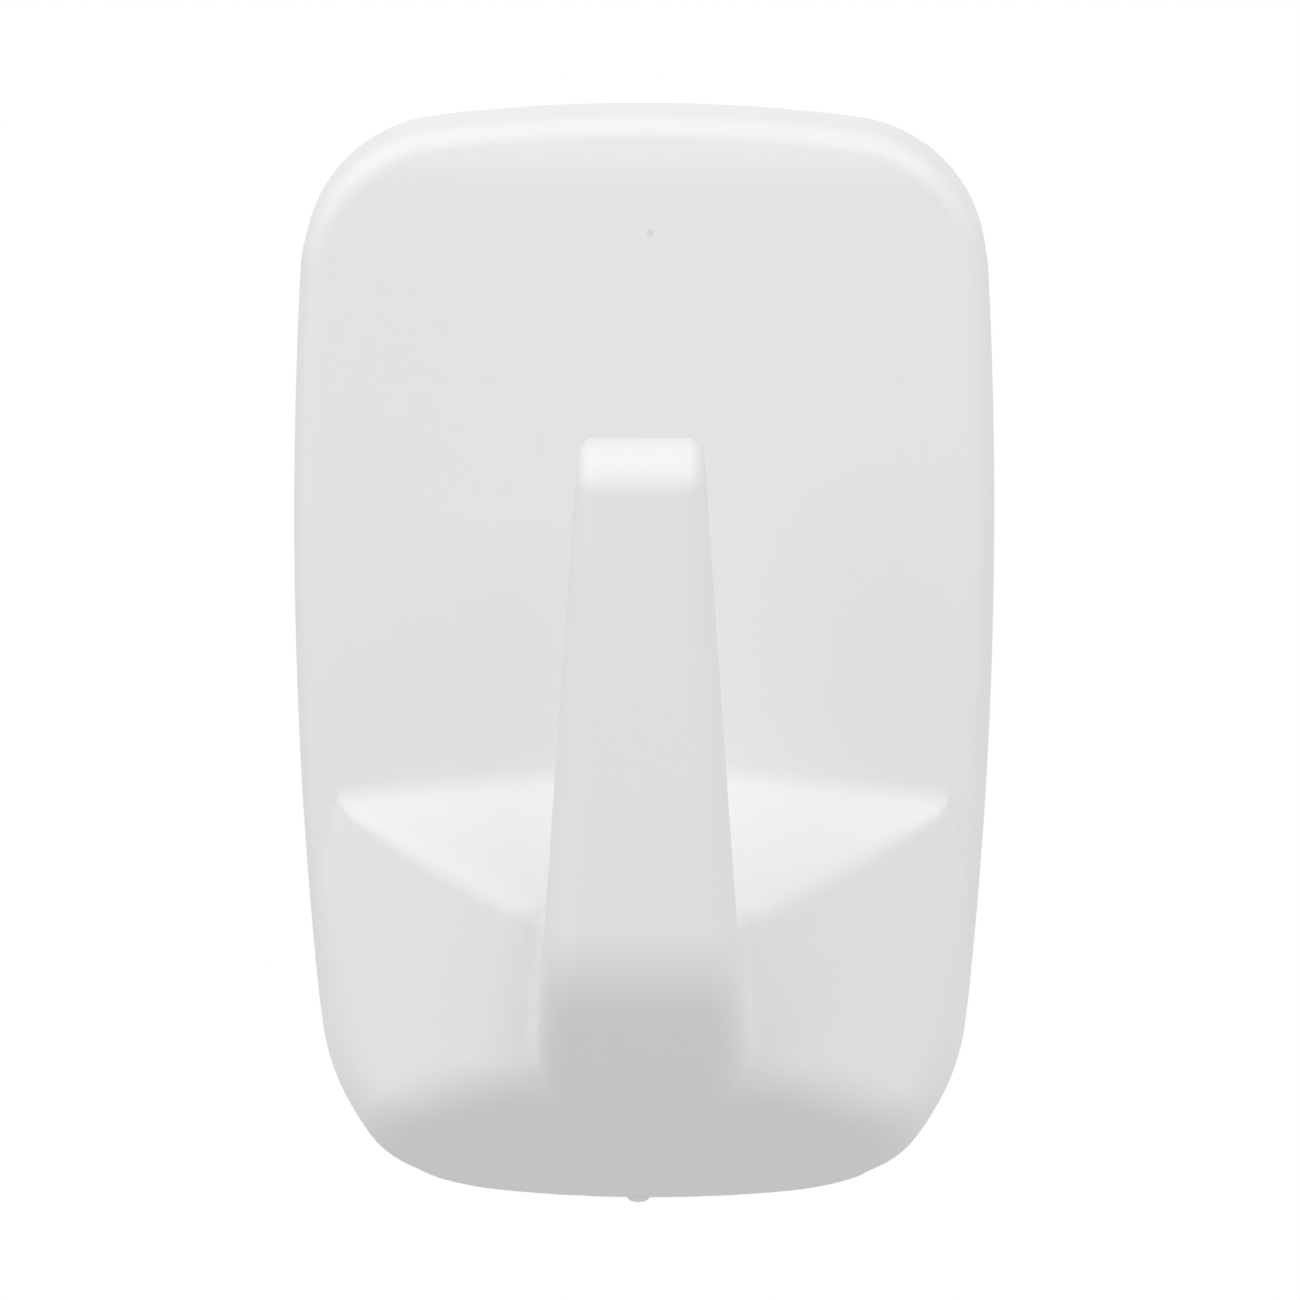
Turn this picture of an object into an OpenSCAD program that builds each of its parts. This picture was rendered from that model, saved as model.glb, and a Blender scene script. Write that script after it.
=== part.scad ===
// Adhesive wall hook. A moulded hook slides down over a base plate, and a
// stretch-release foam strip holds the base plate to the wall.
// X runs to the right, Y runs into the wall and Z runs up. The origin is the
// centre of the wall adhesive's rear face, so the wall is the plane Y = 0.
// In the formulas, depth is the distance out from the wall and height is the
// distance above the bottom edge of the hook.

/* [Cover] */
// Greatest width of the cover
cover_w = 46.8; // [44:0.1:54]
// Height of the cover from its bottom edge to its top edge
cover_h = 76; // [66:0.5:90]
// Height of the widest place of the cover
widest_h = 46; // [42:0.5:56]
// Depth of the flat front face
face_depth = 8.5; // [8:0.1:10]
// Depth of the rear rim, which stands clear of the wall
rim_depth = 1.4; // [0.8:0.1:1.8]
// Depth of the bottom edge, where the underside begins
foot_depth = 3.1; // [2.6:0.1:3.6]
// Wall thickness of the moulding
wall_t = 2; // [1.6:0.1:2.4]
// Bow radius of the side edges
side_bow_r = 330; // [220:10:600]
// Bow radius of the top edge
top_bow_r = 112; // [90:2:300]
// Bow radius of the bottom edge
foot_bow_r = 56; // [50:2:240]
// Radius of the two upper corners
top_corner_r = 10; // [7:0.5:12]
// Radius of the two lower corners
foot_corner_r = 14.5; // [8:0.5:16]
// Radius of the edge round the front face
edge_r = 1.8; // [1:0.1:2.4]
// Height of the soft rounding along the top of the face
brow_h = 6; // [4:0.5:8]
// How far the face falls back over that rounding
brow_fall = 4; // [2:0.1:4.4]

/* [Ledge] */
// Height of the ledge where its middle meets the face
ledge_h = 31.8; // [29:0.1:33]
// Slope of the ledge down towards the front, in degrees
ledge_fall = 30; // [20:1:32]
// Slope of the ledge down towards each side, in degrees
ledge_side = 6; // [1:0.5:9]
// Depth of the front of the prow, beside the finger
prow_depth = 18.3; // [17:0.1:20]
// Width of the front of the prow at the ledge
prow_w = 16; // [14:0.5:22]
// Inset of the wing ends from the side edges of the cover
wing_inset = 2.6; // [1.8:0.1:4]
// Slope of the underside, in degrees
underside = 40.5; // [38:0.5:43]
// Radius along the front edge of the ledge
nose_r = 1.3; // [0.8:0.1:1.8]
// Radius where the cheeks turn under
chine_r = 4.5; // [3:0.5:6]
// Radius of the fillet between the ledge and the face
throat_r = 2; // [1:0.1:3]

/* [Finger] */
// Height of the tip of the finger
tip_h = 58.6; // [52:0.1:66]
// Width of the finger at its tip
tip_w = 8; // [7:0.5:10]
// Taper of each side of the finger, in degrees
finger_taper = 4; // [2:0.5:5]
// Depth of the front of the finger at the height of the ledge
finger_depth = 28.8; // [27:0.1:31]
// Lean of the finger away from the wall, in degrees
finger_lean = 3.5; // [0:0.1:8]
// Thickness of the finger
finger_t = 5.2; // [4:0.1:6]
// Radius of the bend below the finger
bend_r = 11; // [8:0.5:12]
// Radius of the fillet behind the root of the finger
root_r = 4; // [2:0.5:5]
// Radius of the long edges of the finger
finger_edge_r = 1.9; // [0.8:0.1:2.2]
// Height of the rounding at the front of the tip
tip_round_h = 5; // [3:0.5:7]

/* [Base plate] */
// Gap from the top edge of the cover down to the base plate
plate_top_gap = 4.5; // [4:0.1:5]
// Gap from the bottom edge of the cover up to the base plate
plate_foot_gap = 14.5; // [14:0.1:16]
// Width of the base plate
plate_w = 18.6; // [17:0.1:19.6]
// How far each lug stands out from the side of the plate
lug_w = 2.7; // [2:0.1:3.2]
// Thickness of each lug
lug_t = 2.2; // [1.6:0.1:2.6]
// Thickness of the floor of the plate's pocket
floor_t = 1.8; // [1.4:0.1:2.2]
// Thickness of the wall round the pocket
plate_wall_t = 2; // [1.4:0.1:2.6]

/* [Catches] */
// Thickness of the lip that runs behind each lug
lip_t = 1.6; // [1.2:0.1:1.8]
// Thickness of the leg that carries each lip
leg_t = 1.8; // [1.4:0.1:2.4]
// How far the catches rise above the lugs, when the hook is lifted off
lift_gap = 1.5; // [1:0.1:2]
// Running clearance between the hook and the base plate
slide_gap = 0.2; // [0.1:0.05:0.3]
// Gap under the stop ribs when the hook is seated
seat_gap = 0.1; // [0.05:0.05:0.3]

/* [Foam strip] */
// Width of the strip
strip_w = 15.9; // [14:0.1:16.8]
// Length of the pull tab below the base plate
tab_l = 12.7; // [10:0.1:13.5]
// Thickness of the foam core
core_t = 0.9; // [0.6:0.05:1.1]
// Thickness of each layer of adhesive
adhesive_t = 0.15; // [0.1:0.01:0.2]
// Thickness of each film on the pull tab
film_t = 0.1; // [0.05:0.01:0.1]

/* [Hidden] */
$fn = 48;

// How far a cut runs past what it cuts, and how far ribs sink into a wall
overrun = 1;
bond = 0.5;

// Steps along the curves
edge_steps = 6;
bow_steps = 8;
corner_steps = 12;
side_steps = 14;
bend_steps = 8;
round_steps = 6;
turn_steps = 8;
ball_steps = 32;

// Height of a lug and places of the lugs, as shares of the plate's height
lug_share = 1 / 6;
lug_shares = [1 / 3, 3 / 4];

// Small radii and shares of the moulding
inner_r = 0.5;
edge_share = 0.7;
tip_front_share = 0.66;
tip_back_share = 0.28;
tip_side_share = 0.13;
section_share = 0.46;
fade_share = 0.12;
corner_share = 0.92;
slice_t = 0.02;

// Features hidden behind the hook
rib_t = 1.6;
stop_pitch = 6;
snap_w = 5.2;
snap_h = 1.2;
snap_depth = 5.6;
snap_gap = 0.1;
tongue_w = 6;
tongue_l = 12;
tongue_slot = 0.8;
tongue_relief = 0.6;
bump_h = 2.4;
bump_flat_h = 0.8;
plate_corner_r = 2;
plate_lead = 2;
lug_lead = 1;
foot_gap = 0.5;
strip_corner_r = 1.5;
tab_corner_r = 4;
gate_share = 0.48;
gate_h = 0.3;
gate_x = -0.4;

// Levels shared by the hook, the plate and the strip
strip_t = core_t + 2 * adhesive_t;
plate_top_h = cover_h - plate_top_gap;
plate_foot_h = plate_foot_gap;
plate_h = plate_top_h - plate_foot_h;
origin_h = (plate_top_h + plate_foot_h) / 2;
lug_h = plate_h * lug_share;
lug_levels = [for (share = lug_shares) plate_foot_h + plate_h * share];
slide_travel = lug_h + lift_gap;
inner_face = face_depth - wall_t;
plate_front = inner_face - slide_gap;
lip_front = plate_front - lug_t - slide_gap;
lip_rear = lip_front - lip_t;
pocket_depth = strip_t + floor_t;
snap_foot_h = lug_levels[0] + lug_h - snap_h / 2;
tongue_foot_h = snap_foot_h + snap_h;

function at(x, depth, height) = [x, -depth, height - origin_h];

// Share of a quarter round at the place t, from 0 at its start to 1 at its end
function round_off(t) = let (u = max(0, min(1, t))) 1 - sqrt(1 - u * u);

function heading(from, to) = atan2(to.y - from.y, to.x - from.x);

// Centre that lies ra from a and rb from b, on the left (1) or the right (-1)
function circles_meet(a, ra, b, rb, hand) =
    let (gap = norm(b - a), u = (b - a) / gap)
    let (along = (ra * ra - rb * rb + gap * gap) / (2 * gap))
    a + along * u + hand * sqrt(ra * ra - along * along) * [-u.y, u.x];

// Point that lies off a's and off b's lines, each a normal and a place on it
function lines_meet(na, a, nb, b, off) =
    let (oa = na * a + off, ob = nb * b + off)
    [oa * nb.y - ob * na.y, na.x * ob - nb.x * oa] / (na.x * nb.y - na.y * nb.x);

// Outline of the cover: bowed edges and round corners, as points with their
// outward directions
side_c = [cover_w / 2 - side_bow_r, widest_h];
top_c = [0, cover_h - top_bow_r];
foot_c = [0, foot_bow_r];
top_corner_c = circles_meet(side_c, side_bow_r - top_corner_r,
                            top_c, top_bow_r - top_corner_r, 1);
foot_corner_c = circles_meet(side_c, side_bow_r - foot_corner_r,
                             foot_c, foot_bow_r - foot_corner_r, -1);

function arc(c, r, from, to, steps) = [
    for (i = [0:steps])
        let (a = from + (to - from) * i / steps, out = [cos(a), sin(a)])
        [c + r * out, out]
];

outline_right = concat(
    arc(top_c, top_bow_r, 90, heading(top_c, top_corner_c), bow_steps),
    arc(top_corner_c, top_corner_r, heading(top_c, top_corner_c),
        heading(side_c, top_corner_c), corner_steps),
    arc(side_c, side_bow_r, heading(side_c, top_corner_c),
        heading(side_c, foot_corner_c), side_steps),
    arc(foot_corner_c, foot_corner_r, heading(side_c, foot_corner_c),
        heading(foot_c, foot_corner_c), corner_steps),
    arc(foot_c, foot_bow_r, heading(foot_c, foot_corner_c), -90, bow_steps));
outline = concat(outline_right, [
    for (p = outline_right) [[-p[0].x, p[0].y], [-p[1].x, p[1].y]]
]);

// Depth of the cover's skin: flat, falling back at the brow and cut away
// below by the underside; inset gives the same skin inside the wall
function skin(height, inset) = min(
    face_depth - inset
        - brow_fall * round_off((height + inset - cover_h + brow_h) / brow_h),
    foot_depth + (height - inset / cos(underside)) / tan(underside));

// One ring of the cover, at an angle from 0 (side) to 90 (face) of its edge
function cover_ring(angle, inset, top) = [
    for (p = outline)
        let (foot = p[0] - inset * p[1])
        let (room = max(0, skin(foot.y, inset) - rim_depth) * edge_share)
        let (r = min(inset > 0 ? inner_r : edge_r, room))
        let (q = foot - r * (1 - cos(angle)) * p[1])
        if (q.y <= top) at(q.x, skin(q.y, inset) - r * (1 - sin(angle)), q.y)
];

function cover_points(inset, rear, top) = concat(
    [for (p = outline) let (q = p[0] - inset * p[1]) if (q.y <= top) at(q.x, rear, q.y)],
    [for (i = [0:edge_steps]) each cover_ring(90 * i / edge_steps, inset, top)]);

module point_hull(points) {
    hull()
        polyhedron(points, [for (i = [0:len(points) - 3]) [i, i + 1, i + 2]]);
}

module cover_form(inset, rear) {
    point_hull(cover_points(inset, rear, cover_h));
}

// Planes of the prow, each an outward direction and its distance
function plane(out, p) = let (u = out / norm(out)) [u, u * p];
function mirrored(p) = [[-p[0].x, p[0].y, p[0].z], p[1]];
function planes_meet(a, b, c, inset) =
    ((a[1] - inset) * cross(b[0], c[0]) + (b[1] - inset) * cross(c[0], a[0])
        + (c[1] - inset) * cross(a[0], b[0])) / (a[0] * cross(b[0], c[0]));

function on_ledge(x, depth) =
    [x, depth, ledge_h - (depth - face_depth) * tan(ledge_fall) - x * tan(ledge_side)];

wing_x = cover_w / 2 - wing_inset;
wing_end = on_ledge(wing_x, face_depth);
nose_end = on_ledge(prow_w / 2, prow_depth);
flank_x = finger_half(nose_end.z) - nose_r / 2;
face_plane = plane([0, 1, 0], [0, face_depth, 0]);
front_plane = plane([0, 1, 0], [0, prow_depth, 0]);
ledge_plane = plane([tan(ledge_side), tan(ledge_fall), 1], [0, face_depth, ledge_h]);
cheek_plane = plane([prow_depth - face_depth, wing_x - prow_w / 2, 0], nose_end);
corner_w = (wing_x - prow_w / 2) * corner_share - chine_r;

module ball(centre, r) {
    translate(at(centre.x, centre.y, centre.z))
        sphere(r = r, $fn = ball_steps);
}

// Centre of the ball that rolls along the chine, at an angle from 0 (front) to
// 90 (side) round the prow's lower corner
function chine_centre(angle) =
    let (depth = face_depth + (prow_depth - chine_r - face_depth) * cos(angle))
    [prow_w / 2 + corner_w * sin(angle), depth,
     (depth - foot_depth) * tan(underside) + chine_r / cos(underside)];

// Prow below the ledge: cheeks, ledge and underside round one another
module prow_form(inset, rear) {
    r = inset > 0 ? inner_r : nose_r;
    hull() {
        point_hull(cover_points(inset, rear, wing_end.z));
        ball(planes_meet(ledge_plane, mirrored(ledge_plane), face_plane, inset + r), r);
        ball(planes_meet(ledge_plane, mirrored(ledge_plane), front_plane, inset + r), r);
        for (side = [0, 1])
            mirror([side, 0, 0]) {
                ball(planes_meet(ledge_plane, cheek_plane, face_plane, inset + r), r);
                ball(planes_meet(ledge_plane, cheek_plane, front_plane, inset + r), r);
                for (i = [0:turn_steps])
                    ball(chine_centre(90 * i / turn_steps), chine_r - inset);
            }
    }
}

// Finger in level sections: half width, front and back at each height
front_out = [cos(finger_lean), -sin(finger_lean)];
under_out = [sin(underside), -cos(underside)];
bend_c = lines_meet(front_out, [finger_depth, ledge_h], under_out, [foot_depth, 0], -bend_r);
bend_top_h = bend_c.y + bend_r * front_out.y;
bend_foot_h = bend_c.y + bend_r * under_out.y;
root_c = lines_meet(-front_out, [finger_depth - finger_t, ledge_h],
                    [sin(ledge_fall), cos(ledge_fall)],
                    [face_depth, ledge_h - flank_x * tan(ledge_side)], root_r);
keel_foot_h = ((face_depth + prow_depth) / 2 - foot_depth) * tan(underside);
tip_front_r = finger_t * tip_front_share;
tip_back_r = finger_t * tip_back_share;
tip_side_r = tip_w * tip_side_share;

function finger_half(height) = tip_w / 2 + (tip_h - height) * tan(finger_taper);
function finger_line(height) = finger_depth + (height - ledge_h) * tan(finger_lean);
function circle_side(c, r, height) = c.x + sqrt(max(0, r * r - (height - c.y) * (height - c.y)));
function tip_place(height, round_h) = (height - tip_h + round_h) / round_h;
function finger_front(height) =
    height >= bend_top_h
        ? finger_line(height) - tip_front_r * round_off(tip_place(height, tip_round_h))
        : height >= bend_foot_h
            ? circle_side(bend_c, bend_r, height)
            : foot_depth + height / tan(underside);
function finger_back(height) =
    height >= root_c.y
        ? finger_line(height) - finger_t + tip_back_r * round_off(tip_place(height, tip_back_r))
        : height >= root_c.y - root_r
            ? circle_side(root_c, root_r, height)
            : face_depth;
function finger_side(height) =
    finger_half(height) - tip_side_r * round_off(tip_place(height, tip_side_r));

module finger_section(height) {
    half = finger_side(height);
    front = finger_front(height);
    back = finger_back(height);
    r = min(finger_edge_r, (front - back) * section_share);
    for (x = [-half + r, half - r], depth = [back + r, front - r])
        translate(at(x, depth, height))
            cylinder(r = r, h = slice_t, $fn = ball_steps);
}

finger_levels = concat(
    [keel_foot_h],
    [for (i = [0:bend_steps]) bend_c.y - bend_r * cos(underside + (90 - underside) * i / bend_steps)],
    [for (i = [0:round_steps]) root_c.y - root_r * cos(90 * i / round_steps)],
    [for (i = [0:round_steps]) tip_h - tip_round_h + tip_round_h * sin(90 * i / round_steps)],
    [for (i = [0:round_steps]) tip_h - tip_back_r + tip_back_r * sin(90 * i / round_steps)]);

function sorted(list) = len(list) < 2 ? list :
    let (mid = list[floor(len(list) / 2)])
    concat(sorted([for (v = list) if (v < mid) v]), [mid], sorted([for (v = list) if (v > mid) v]));

module finger_form() {
    levels = sorted(finger_levels);
    for (i = [0:len(levels) - 2])
        hull() {
            finger_section(levels[i]);
            finger_section(levels[i + 1]);
        }
}

// Fillet between the ledge and the face, fading out at each wing end
fillet_c = [throat_r, (1 - sin(ledge_fall)) / cos(ledge_fall) * throat_r];
module throat_profile() {
    toe = fillet_c - throat_r * [sin(ledge_fall), cos(ledge_fall)];
    polygon(concat(
        [[-bond, fillet_c.y]],
        [for (i = [0:round_steps])
            let (a = 180 + (90 - ledge_fall) * i / round_steps)
            fillet_c + throat_r * [cos(a), sin(a)]],
        [toe - [0, bond], [-bond, -bond]]));
}

module throat_fillet() {
    fade_l = throat_r + nose_r;
    full_l = wing_x - nose_r - fade_l;
    for (side = [0, 1])
        mirror([side, 0, 0])
            translate(at(0, face_depth, ledge_h))
                rotate([0, -ledge_side, 0])
                    rotate([90, 0, -90]) {
                        linear_extrude(full_l)
                            throat_profile();
                        translate([0, 0, full_l])
                            linear_extrude(fade_l, scale = fade_share)
                                throat_profile();
                    }
}

// Block between two corners, each given as x, depth and height
module block(low, high) {
    translate(at(low.x, high.y, low.z))
        cube(high - low);
}

module both_sides() {
    for (side = [0, 1])
        mirror([side, 0, 0])
            children();
}

lug_x = plate_w / 2 + lug_w;
leg_x = lug_x + slide_gap;

// Catches inside the cover: a leg beside each lug and a lip behind it
module catches() {
    both_sides()
        for (level = lug_levels) {
            block([leg_x, lip_rear, level], [leg_x + leg_t, inner_face + bond, level + lug_h]);
            block([plate_w / 2 + slide_gap, lip_rear, level],
                  [leg_x + leg_t, lip_front, level + lug_h]);
        }
}

// Ribs under the top wall, which sit on the base plate and carry the load
module stop_ribs() {
    intersection() {
        cover_form(wall_t / 2, rim_depth);
        for (x = [-stop_pitch, 0, stop_pitch])
            block([x - rib_t / 2, lip_rear, plate_top_h + seat_gap],
                  [x + rib_t / 2, face_depth, cover_h]);
    }
}

// Ribs inside the prow, in line with the sides of the finger
module gussets() {
    intersection() {
        prow_form(wall_t / 2, rim_depth);
        both_sides()
            block([flank_x - rib_t, inner_face, 0], [flank_x, prow_depth, ledge_h]);
    }
}

// Rib that clicks under the bump of the base plate's tongue
module snap_rib() {
    block([-snap_w / 2, snap_depth, snap_foot_h],
          [snap_w / 2, inner_face + bond, snap_foot_h + snap_h]);
}

// Mark left where the moulding was cut from its runner
module gate_mark() {
    translate(at(gate_x, (rim_depth + foot_depth) / 2, -gate_h))
        cylinder(r = (foot_depth - rim_depth) * gate_share, h = gate_h + bond);
}

module hook() {
    color("white") {
        difference() {
            union() {
                cover_form(0, rim_depth);
                prow_form(0, rim_depth);
                finger_form();
                throat_fillet();
                gate_mark();
            }
            cover_form(wall_t, rim_depth - overrun);
            prow_form(wall_t, rim_depth - overrun);
        }
        catches();
        stop_ribs();
        gussets();
        snap_rib();
    }
}

// Plate with round corners seen from the front, made of exact solids
module rounded_bar(half_w, rear, front, foot, top, foot_r, top_r) {
    for (corner = [[foot, foot_r, 1], [top, top_r, -1]], side = [-1, 1])
        translate(at(side * (half_w - corner[1]), rear, corner[0] + corner[2] * corner[1]))
            rotate([90, 0, 0])
                cylinder(r = corner[1], h = front - rear);
    block([-half_w, rear, foot + foot_r], [half_w, front, top - top_r]);
    block([-half_w + foot_r, rear, foot], [half_w - foot_r, front, foot + foot_r]);
    block([-half_w + top_r, rear, top - top_r], [half_w - top_r, front, top]);
}

// Side view of depth and height, drawn out evenly to both sides
module side_view(half_w) {
    translate(at(half_w, 0, 0))
        rotate([90, 0, -90])
            linear_extrude(2 * half_w)
                children();
}

// Height that the inside of the underside reaches when the hook is lifted
function lifted_foot(depth) =
    (depth - foot_depth) * tan(underside) + wall_t / cos(underside) + slide_travel + foot_gap;

module plate_foot_cut() {
    rear = strip_t - overrun;
    front = plate_front + overrun;
    low = min(lifted_foot(rear), plate_foot_h) - overrun;
    side_view(plate_w)
        polygon([[rear, low], [front, low], [front, lifted_foot(front)], [rear, lifted_foot(rear)]]);
}

module plate_top_cut() {
    front = plate_front + overrun;
    top = plate_top_h + overrun;
    cut = plate_lead + 2 * overrun;
    side_view(plate_w)
        polygon([[front, top], [front - cut, top], [front, top - cut]]);
}

pocket_half = plate_w / 2 - plate_wall_t;
pocket_foot_h = lifted_foot(plate_front) + plate_wall_t;
pocket_top_h = plate_top_h - plate_lead - plate_wall_t;
tongue_root_h = tongue_foot_h + tongue_l;

// Pocket in the front of the plate, with a cross rib beside each pair of lugs
module pocket() {
    difference() {
        block([-pocket_half, pocket_depth, pocket_foot_h],
              [pocket_half, plate_front + overrun, pocket_top_h]);
        for (level = lug_levels)
            block([-plate_w, strip_t, level + (lug_h - rib_t) / 2],
                  [plate_w, plate_front + overrun, level + (lug_h + rib_t) / 2]);
    }
}

// Slot on three sides of the tongue, and the room behind it to bend
module tongue_slots() {
    reach = tongue_w / 2 + tongue_slot;
    low_h = tongue_foot_h - tongue_slot;
    both_sides()
        block([tongue_w / 2, strip_t - overrun, tongue_foot_h],
              [reach, pocket_depth + overrun, tongue_root_h]);
    block([-reach, strip_t - overrun, low_h], [reach, pocket_depth + overrun, tongue_foot_h]);
    block([-reach, strip_t - overrun, low_h], [reach, strip_t + tongue_relief, tongue_root_h]);
}

module tongue_bump() {
    peak = snap_depth - snap_gap;
    ramp_h = (bump_h - bump_flat_h) / 2;
    side_view(tongue_w / 2)
        polygon([[pocket_depth - bond, tongue_foot_h], [pocket_depth, tongue_foot_h],
                 [peak, tongue_foot_h + ramp_h], [peak, tongue_foot_h + ramp_h + bump_flat_h],
                 [pocket_depth, tongue_foot_h + bump_h], [pocket_depth - bond, tongue_foot_h + bump_h]]);
}

// Lugs on both sides, with a lead-in behind their upper ends
module lugs() {
    rear = plate_front - lug_t;
    for (level = lug_levels)
        side_view(lug_x)
            polygon([[rear, level], [plate_front, level], [plate_front, level + lug_h],
                     [rear + lug_lead, level + lug_h], [rear, level + lug_h - lug_lead]]);
}

module base_plate() {
    color("gainsboro") {
        difference() {
            union() {
                rounded_bar(plate_w / 2, strip_t, plate_front, plate_foot_h, plate_top_h,
                            plate_corner_r, plate_corner_r);
                lugs();
            }
            plate_foot_cut();
            plate_top_cut();
            pocket();
            tongue_slots();
        }
        tongue_bump();
    }
}

tab_foot_h = plate_foot_h - tab_l;

// One bonded layer of the strip, behind the base plate
module bonded_layer(rear, front) {
    rounded_bar(strip_w / 2, rear, front, plate_foot_h, plate_top_h, strip_corner_r, strip_corner_r);
}

module plate_adhesive() {
    color("ivory")
        bonded_layer(adhesive_t + core_t, strip_t);
}

module foam_core() {
    color("white")
        rounded_bar(strip_w / 2, adhesive_t, adhesive_t + core_t, tab_foot_h, plate_top_h,
                    tab_corner_r, strip_corner_r);
}

module wall_adhesive() {
    color("ivory")
        bonded_layer(0, adhesive_t);
}

// Film on one face of the pull tab
module tab_film(rear, front) {
    rounded_bar(strip_w / 2, rear, front, tab_foot_h, plate_foot_h - strip_corner_r,
                tab_corner_r, strip_corner_r);
}

module tab_film_front() {
    color("whitesmoke")
        tab_film(adhesive_t + core_t, adhesive_t + core_t + film_t);
}

module tab_film_rear() {
    color("whitesmoke")
        tab_film(adhesive_t - film_t, adhesive_t);
}

hook();
base_plate();
plate_adhesive();
foam_core();
wall_adhesive();
tab_film_front();
tab_film_rear();
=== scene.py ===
"""Looks of a white adhesive wall hook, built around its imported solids.

The mouldings are skinned from signed distances, so that every edge and corner
has its own rolled radius. In the formulas a place is x to the right, depth out
from the wall and height above the hook's bottom edge, in millimetres.
"""

import logging
import math
from dataclasses import dataclass, field
from enum import Enum
from typing import Callable, ClassVar

import bmesh
import bpy
import numpy as np
from mathutils import Matrix, Quaternion, Vector


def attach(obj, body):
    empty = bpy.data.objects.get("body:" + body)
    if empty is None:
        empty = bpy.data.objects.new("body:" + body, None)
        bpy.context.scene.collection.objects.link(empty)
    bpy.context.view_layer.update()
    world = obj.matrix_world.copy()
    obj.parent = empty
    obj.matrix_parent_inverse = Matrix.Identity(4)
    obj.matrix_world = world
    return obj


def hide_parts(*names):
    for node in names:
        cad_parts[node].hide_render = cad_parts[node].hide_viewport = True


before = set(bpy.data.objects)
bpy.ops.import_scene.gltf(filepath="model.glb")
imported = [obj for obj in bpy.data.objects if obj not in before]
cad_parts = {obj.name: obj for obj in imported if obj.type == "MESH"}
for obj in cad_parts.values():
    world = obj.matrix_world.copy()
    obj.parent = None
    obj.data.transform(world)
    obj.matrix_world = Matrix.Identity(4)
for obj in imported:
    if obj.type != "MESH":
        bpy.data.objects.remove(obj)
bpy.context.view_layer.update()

LOG = logging.getLogger("wall_hook")
MM = 0.001
TINY = 1e-6
NEARLY_ONE = 0.9999

# Sizes that the hook and the base plate share
PLATE_FOOT = 14.5
PLATE_TOP = 71.5
PLATE_H = PLATE_TOP - PLATE_FOOT
ORIGIN_HEIGHT = (PLATE_FOOT + PLATE_TOP) / 2
LEVEL_SHARES = (1 / 3, 3 / 4)
LUG_LEVELS = tuple(PLATE_FOOT + PLATE_H * share for share in LEVEL_SHARES)
LUG_SHARE = 1 / 6
LUG_H = PLATE_H * LUG_SHARE
LIP_REAR = 2.3
UNDERSIDE = 40.5
FOOT_DEPTH = 3.1


class Body(Enum):
    """Rigid bodies of the part."""

    BASE = "wall_base"
    HOOK = "sliding_hook"


class Slot(Enum):
    """Material slots of the record."""

    HOOK = "hook_plastic"
    PLATE = "plate_plastic"
    ADHESIVE = "adhesive"
    FOAM = "foam"
    FILM = "tab_film"


def place(points: np.ndarray) -> np.ndarray:
    """Turns x, depth and height in millimetres into the part's frame.

    Args:
        points: Rows of x, depth and height.

    Returns:
        Rows of x, y and z in metres.
    """
    out = np.empty_like(points, dtype=np.float64)
    out[:, 0] = points[:, 0]
    out[:, 1] = -points[:, 1]
    out[:, 2] = points[:, 2] - ORIGIN_HEIGHT
    return out * MM


@dataclass
class Field:
    """Signed distances at many places, with the direction they grow in."""

    value: np.ndarray
    slope: np.ndarray

    def shift(self, inset: float) -> "Field":
        """Returns the same shape, drawn in by inset."""
        return Field(self.value + inset, self.slope)

    def turned(self) -> "Field":
        """Returns the outside of the shape."""
        return Field(-self.value, -self.slope)


def meet(a: Field, b: Field, radius: np.ndarray | float) -> Field:
    """Intersects two shapes and rolls a ball along their common edge.

    Args:
        a: First shape.
        b: Second shape.
        radius: Radius of the edge, one number or one for each place.

    Returns:
        The shape inside both.
    """
    va = a.value + radius
    vb = b.value + radius
    cos = np.clip(np.einsum("ij,ij->i", a.slope, b.slope), -NEARLY_ONE, NEARLY_ONE)
    over_a = va - cos * vb
    over_b = vb - cos * va
    edge = (over_a > 0) & (over_b > 0) & ((va > 0) | (vb > 0))
    near_a = va >= vb
    value = np.where(near_a, va, vb)
    slope = np.where(near_a[:, None], a.slope, b.slope)
    sin2 = 1 - cos[edge] ** 2
    far = np.sqrt((va[edge] * over_a[edge] + vb[edge] * over_b[edge]) / sin2)
    far = np.maximum(far, TINY)
    value[edge] = far
    slope[edge] = (
        over_a[edge, None] * a.slope[edge] + over_b[edge, None] * b.slope[edge]
    ) / (sin2 * far)[:, None]
    return Field(value - radius, slope)


def join(a: Field, b: Field, radius: np.ndarray | float) -> Field:
    """Joins two shapes with a fillet of that radius in the corner between them."""
    return meet(a.turned(), b.turned(), radius).turned()


def cut(a: Field, b: Field, radius: float) -> Field:
    """Cuts b out of a and rolls a ball along the new edge."""
    return meet(a, b.turned(), radius)


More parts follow.
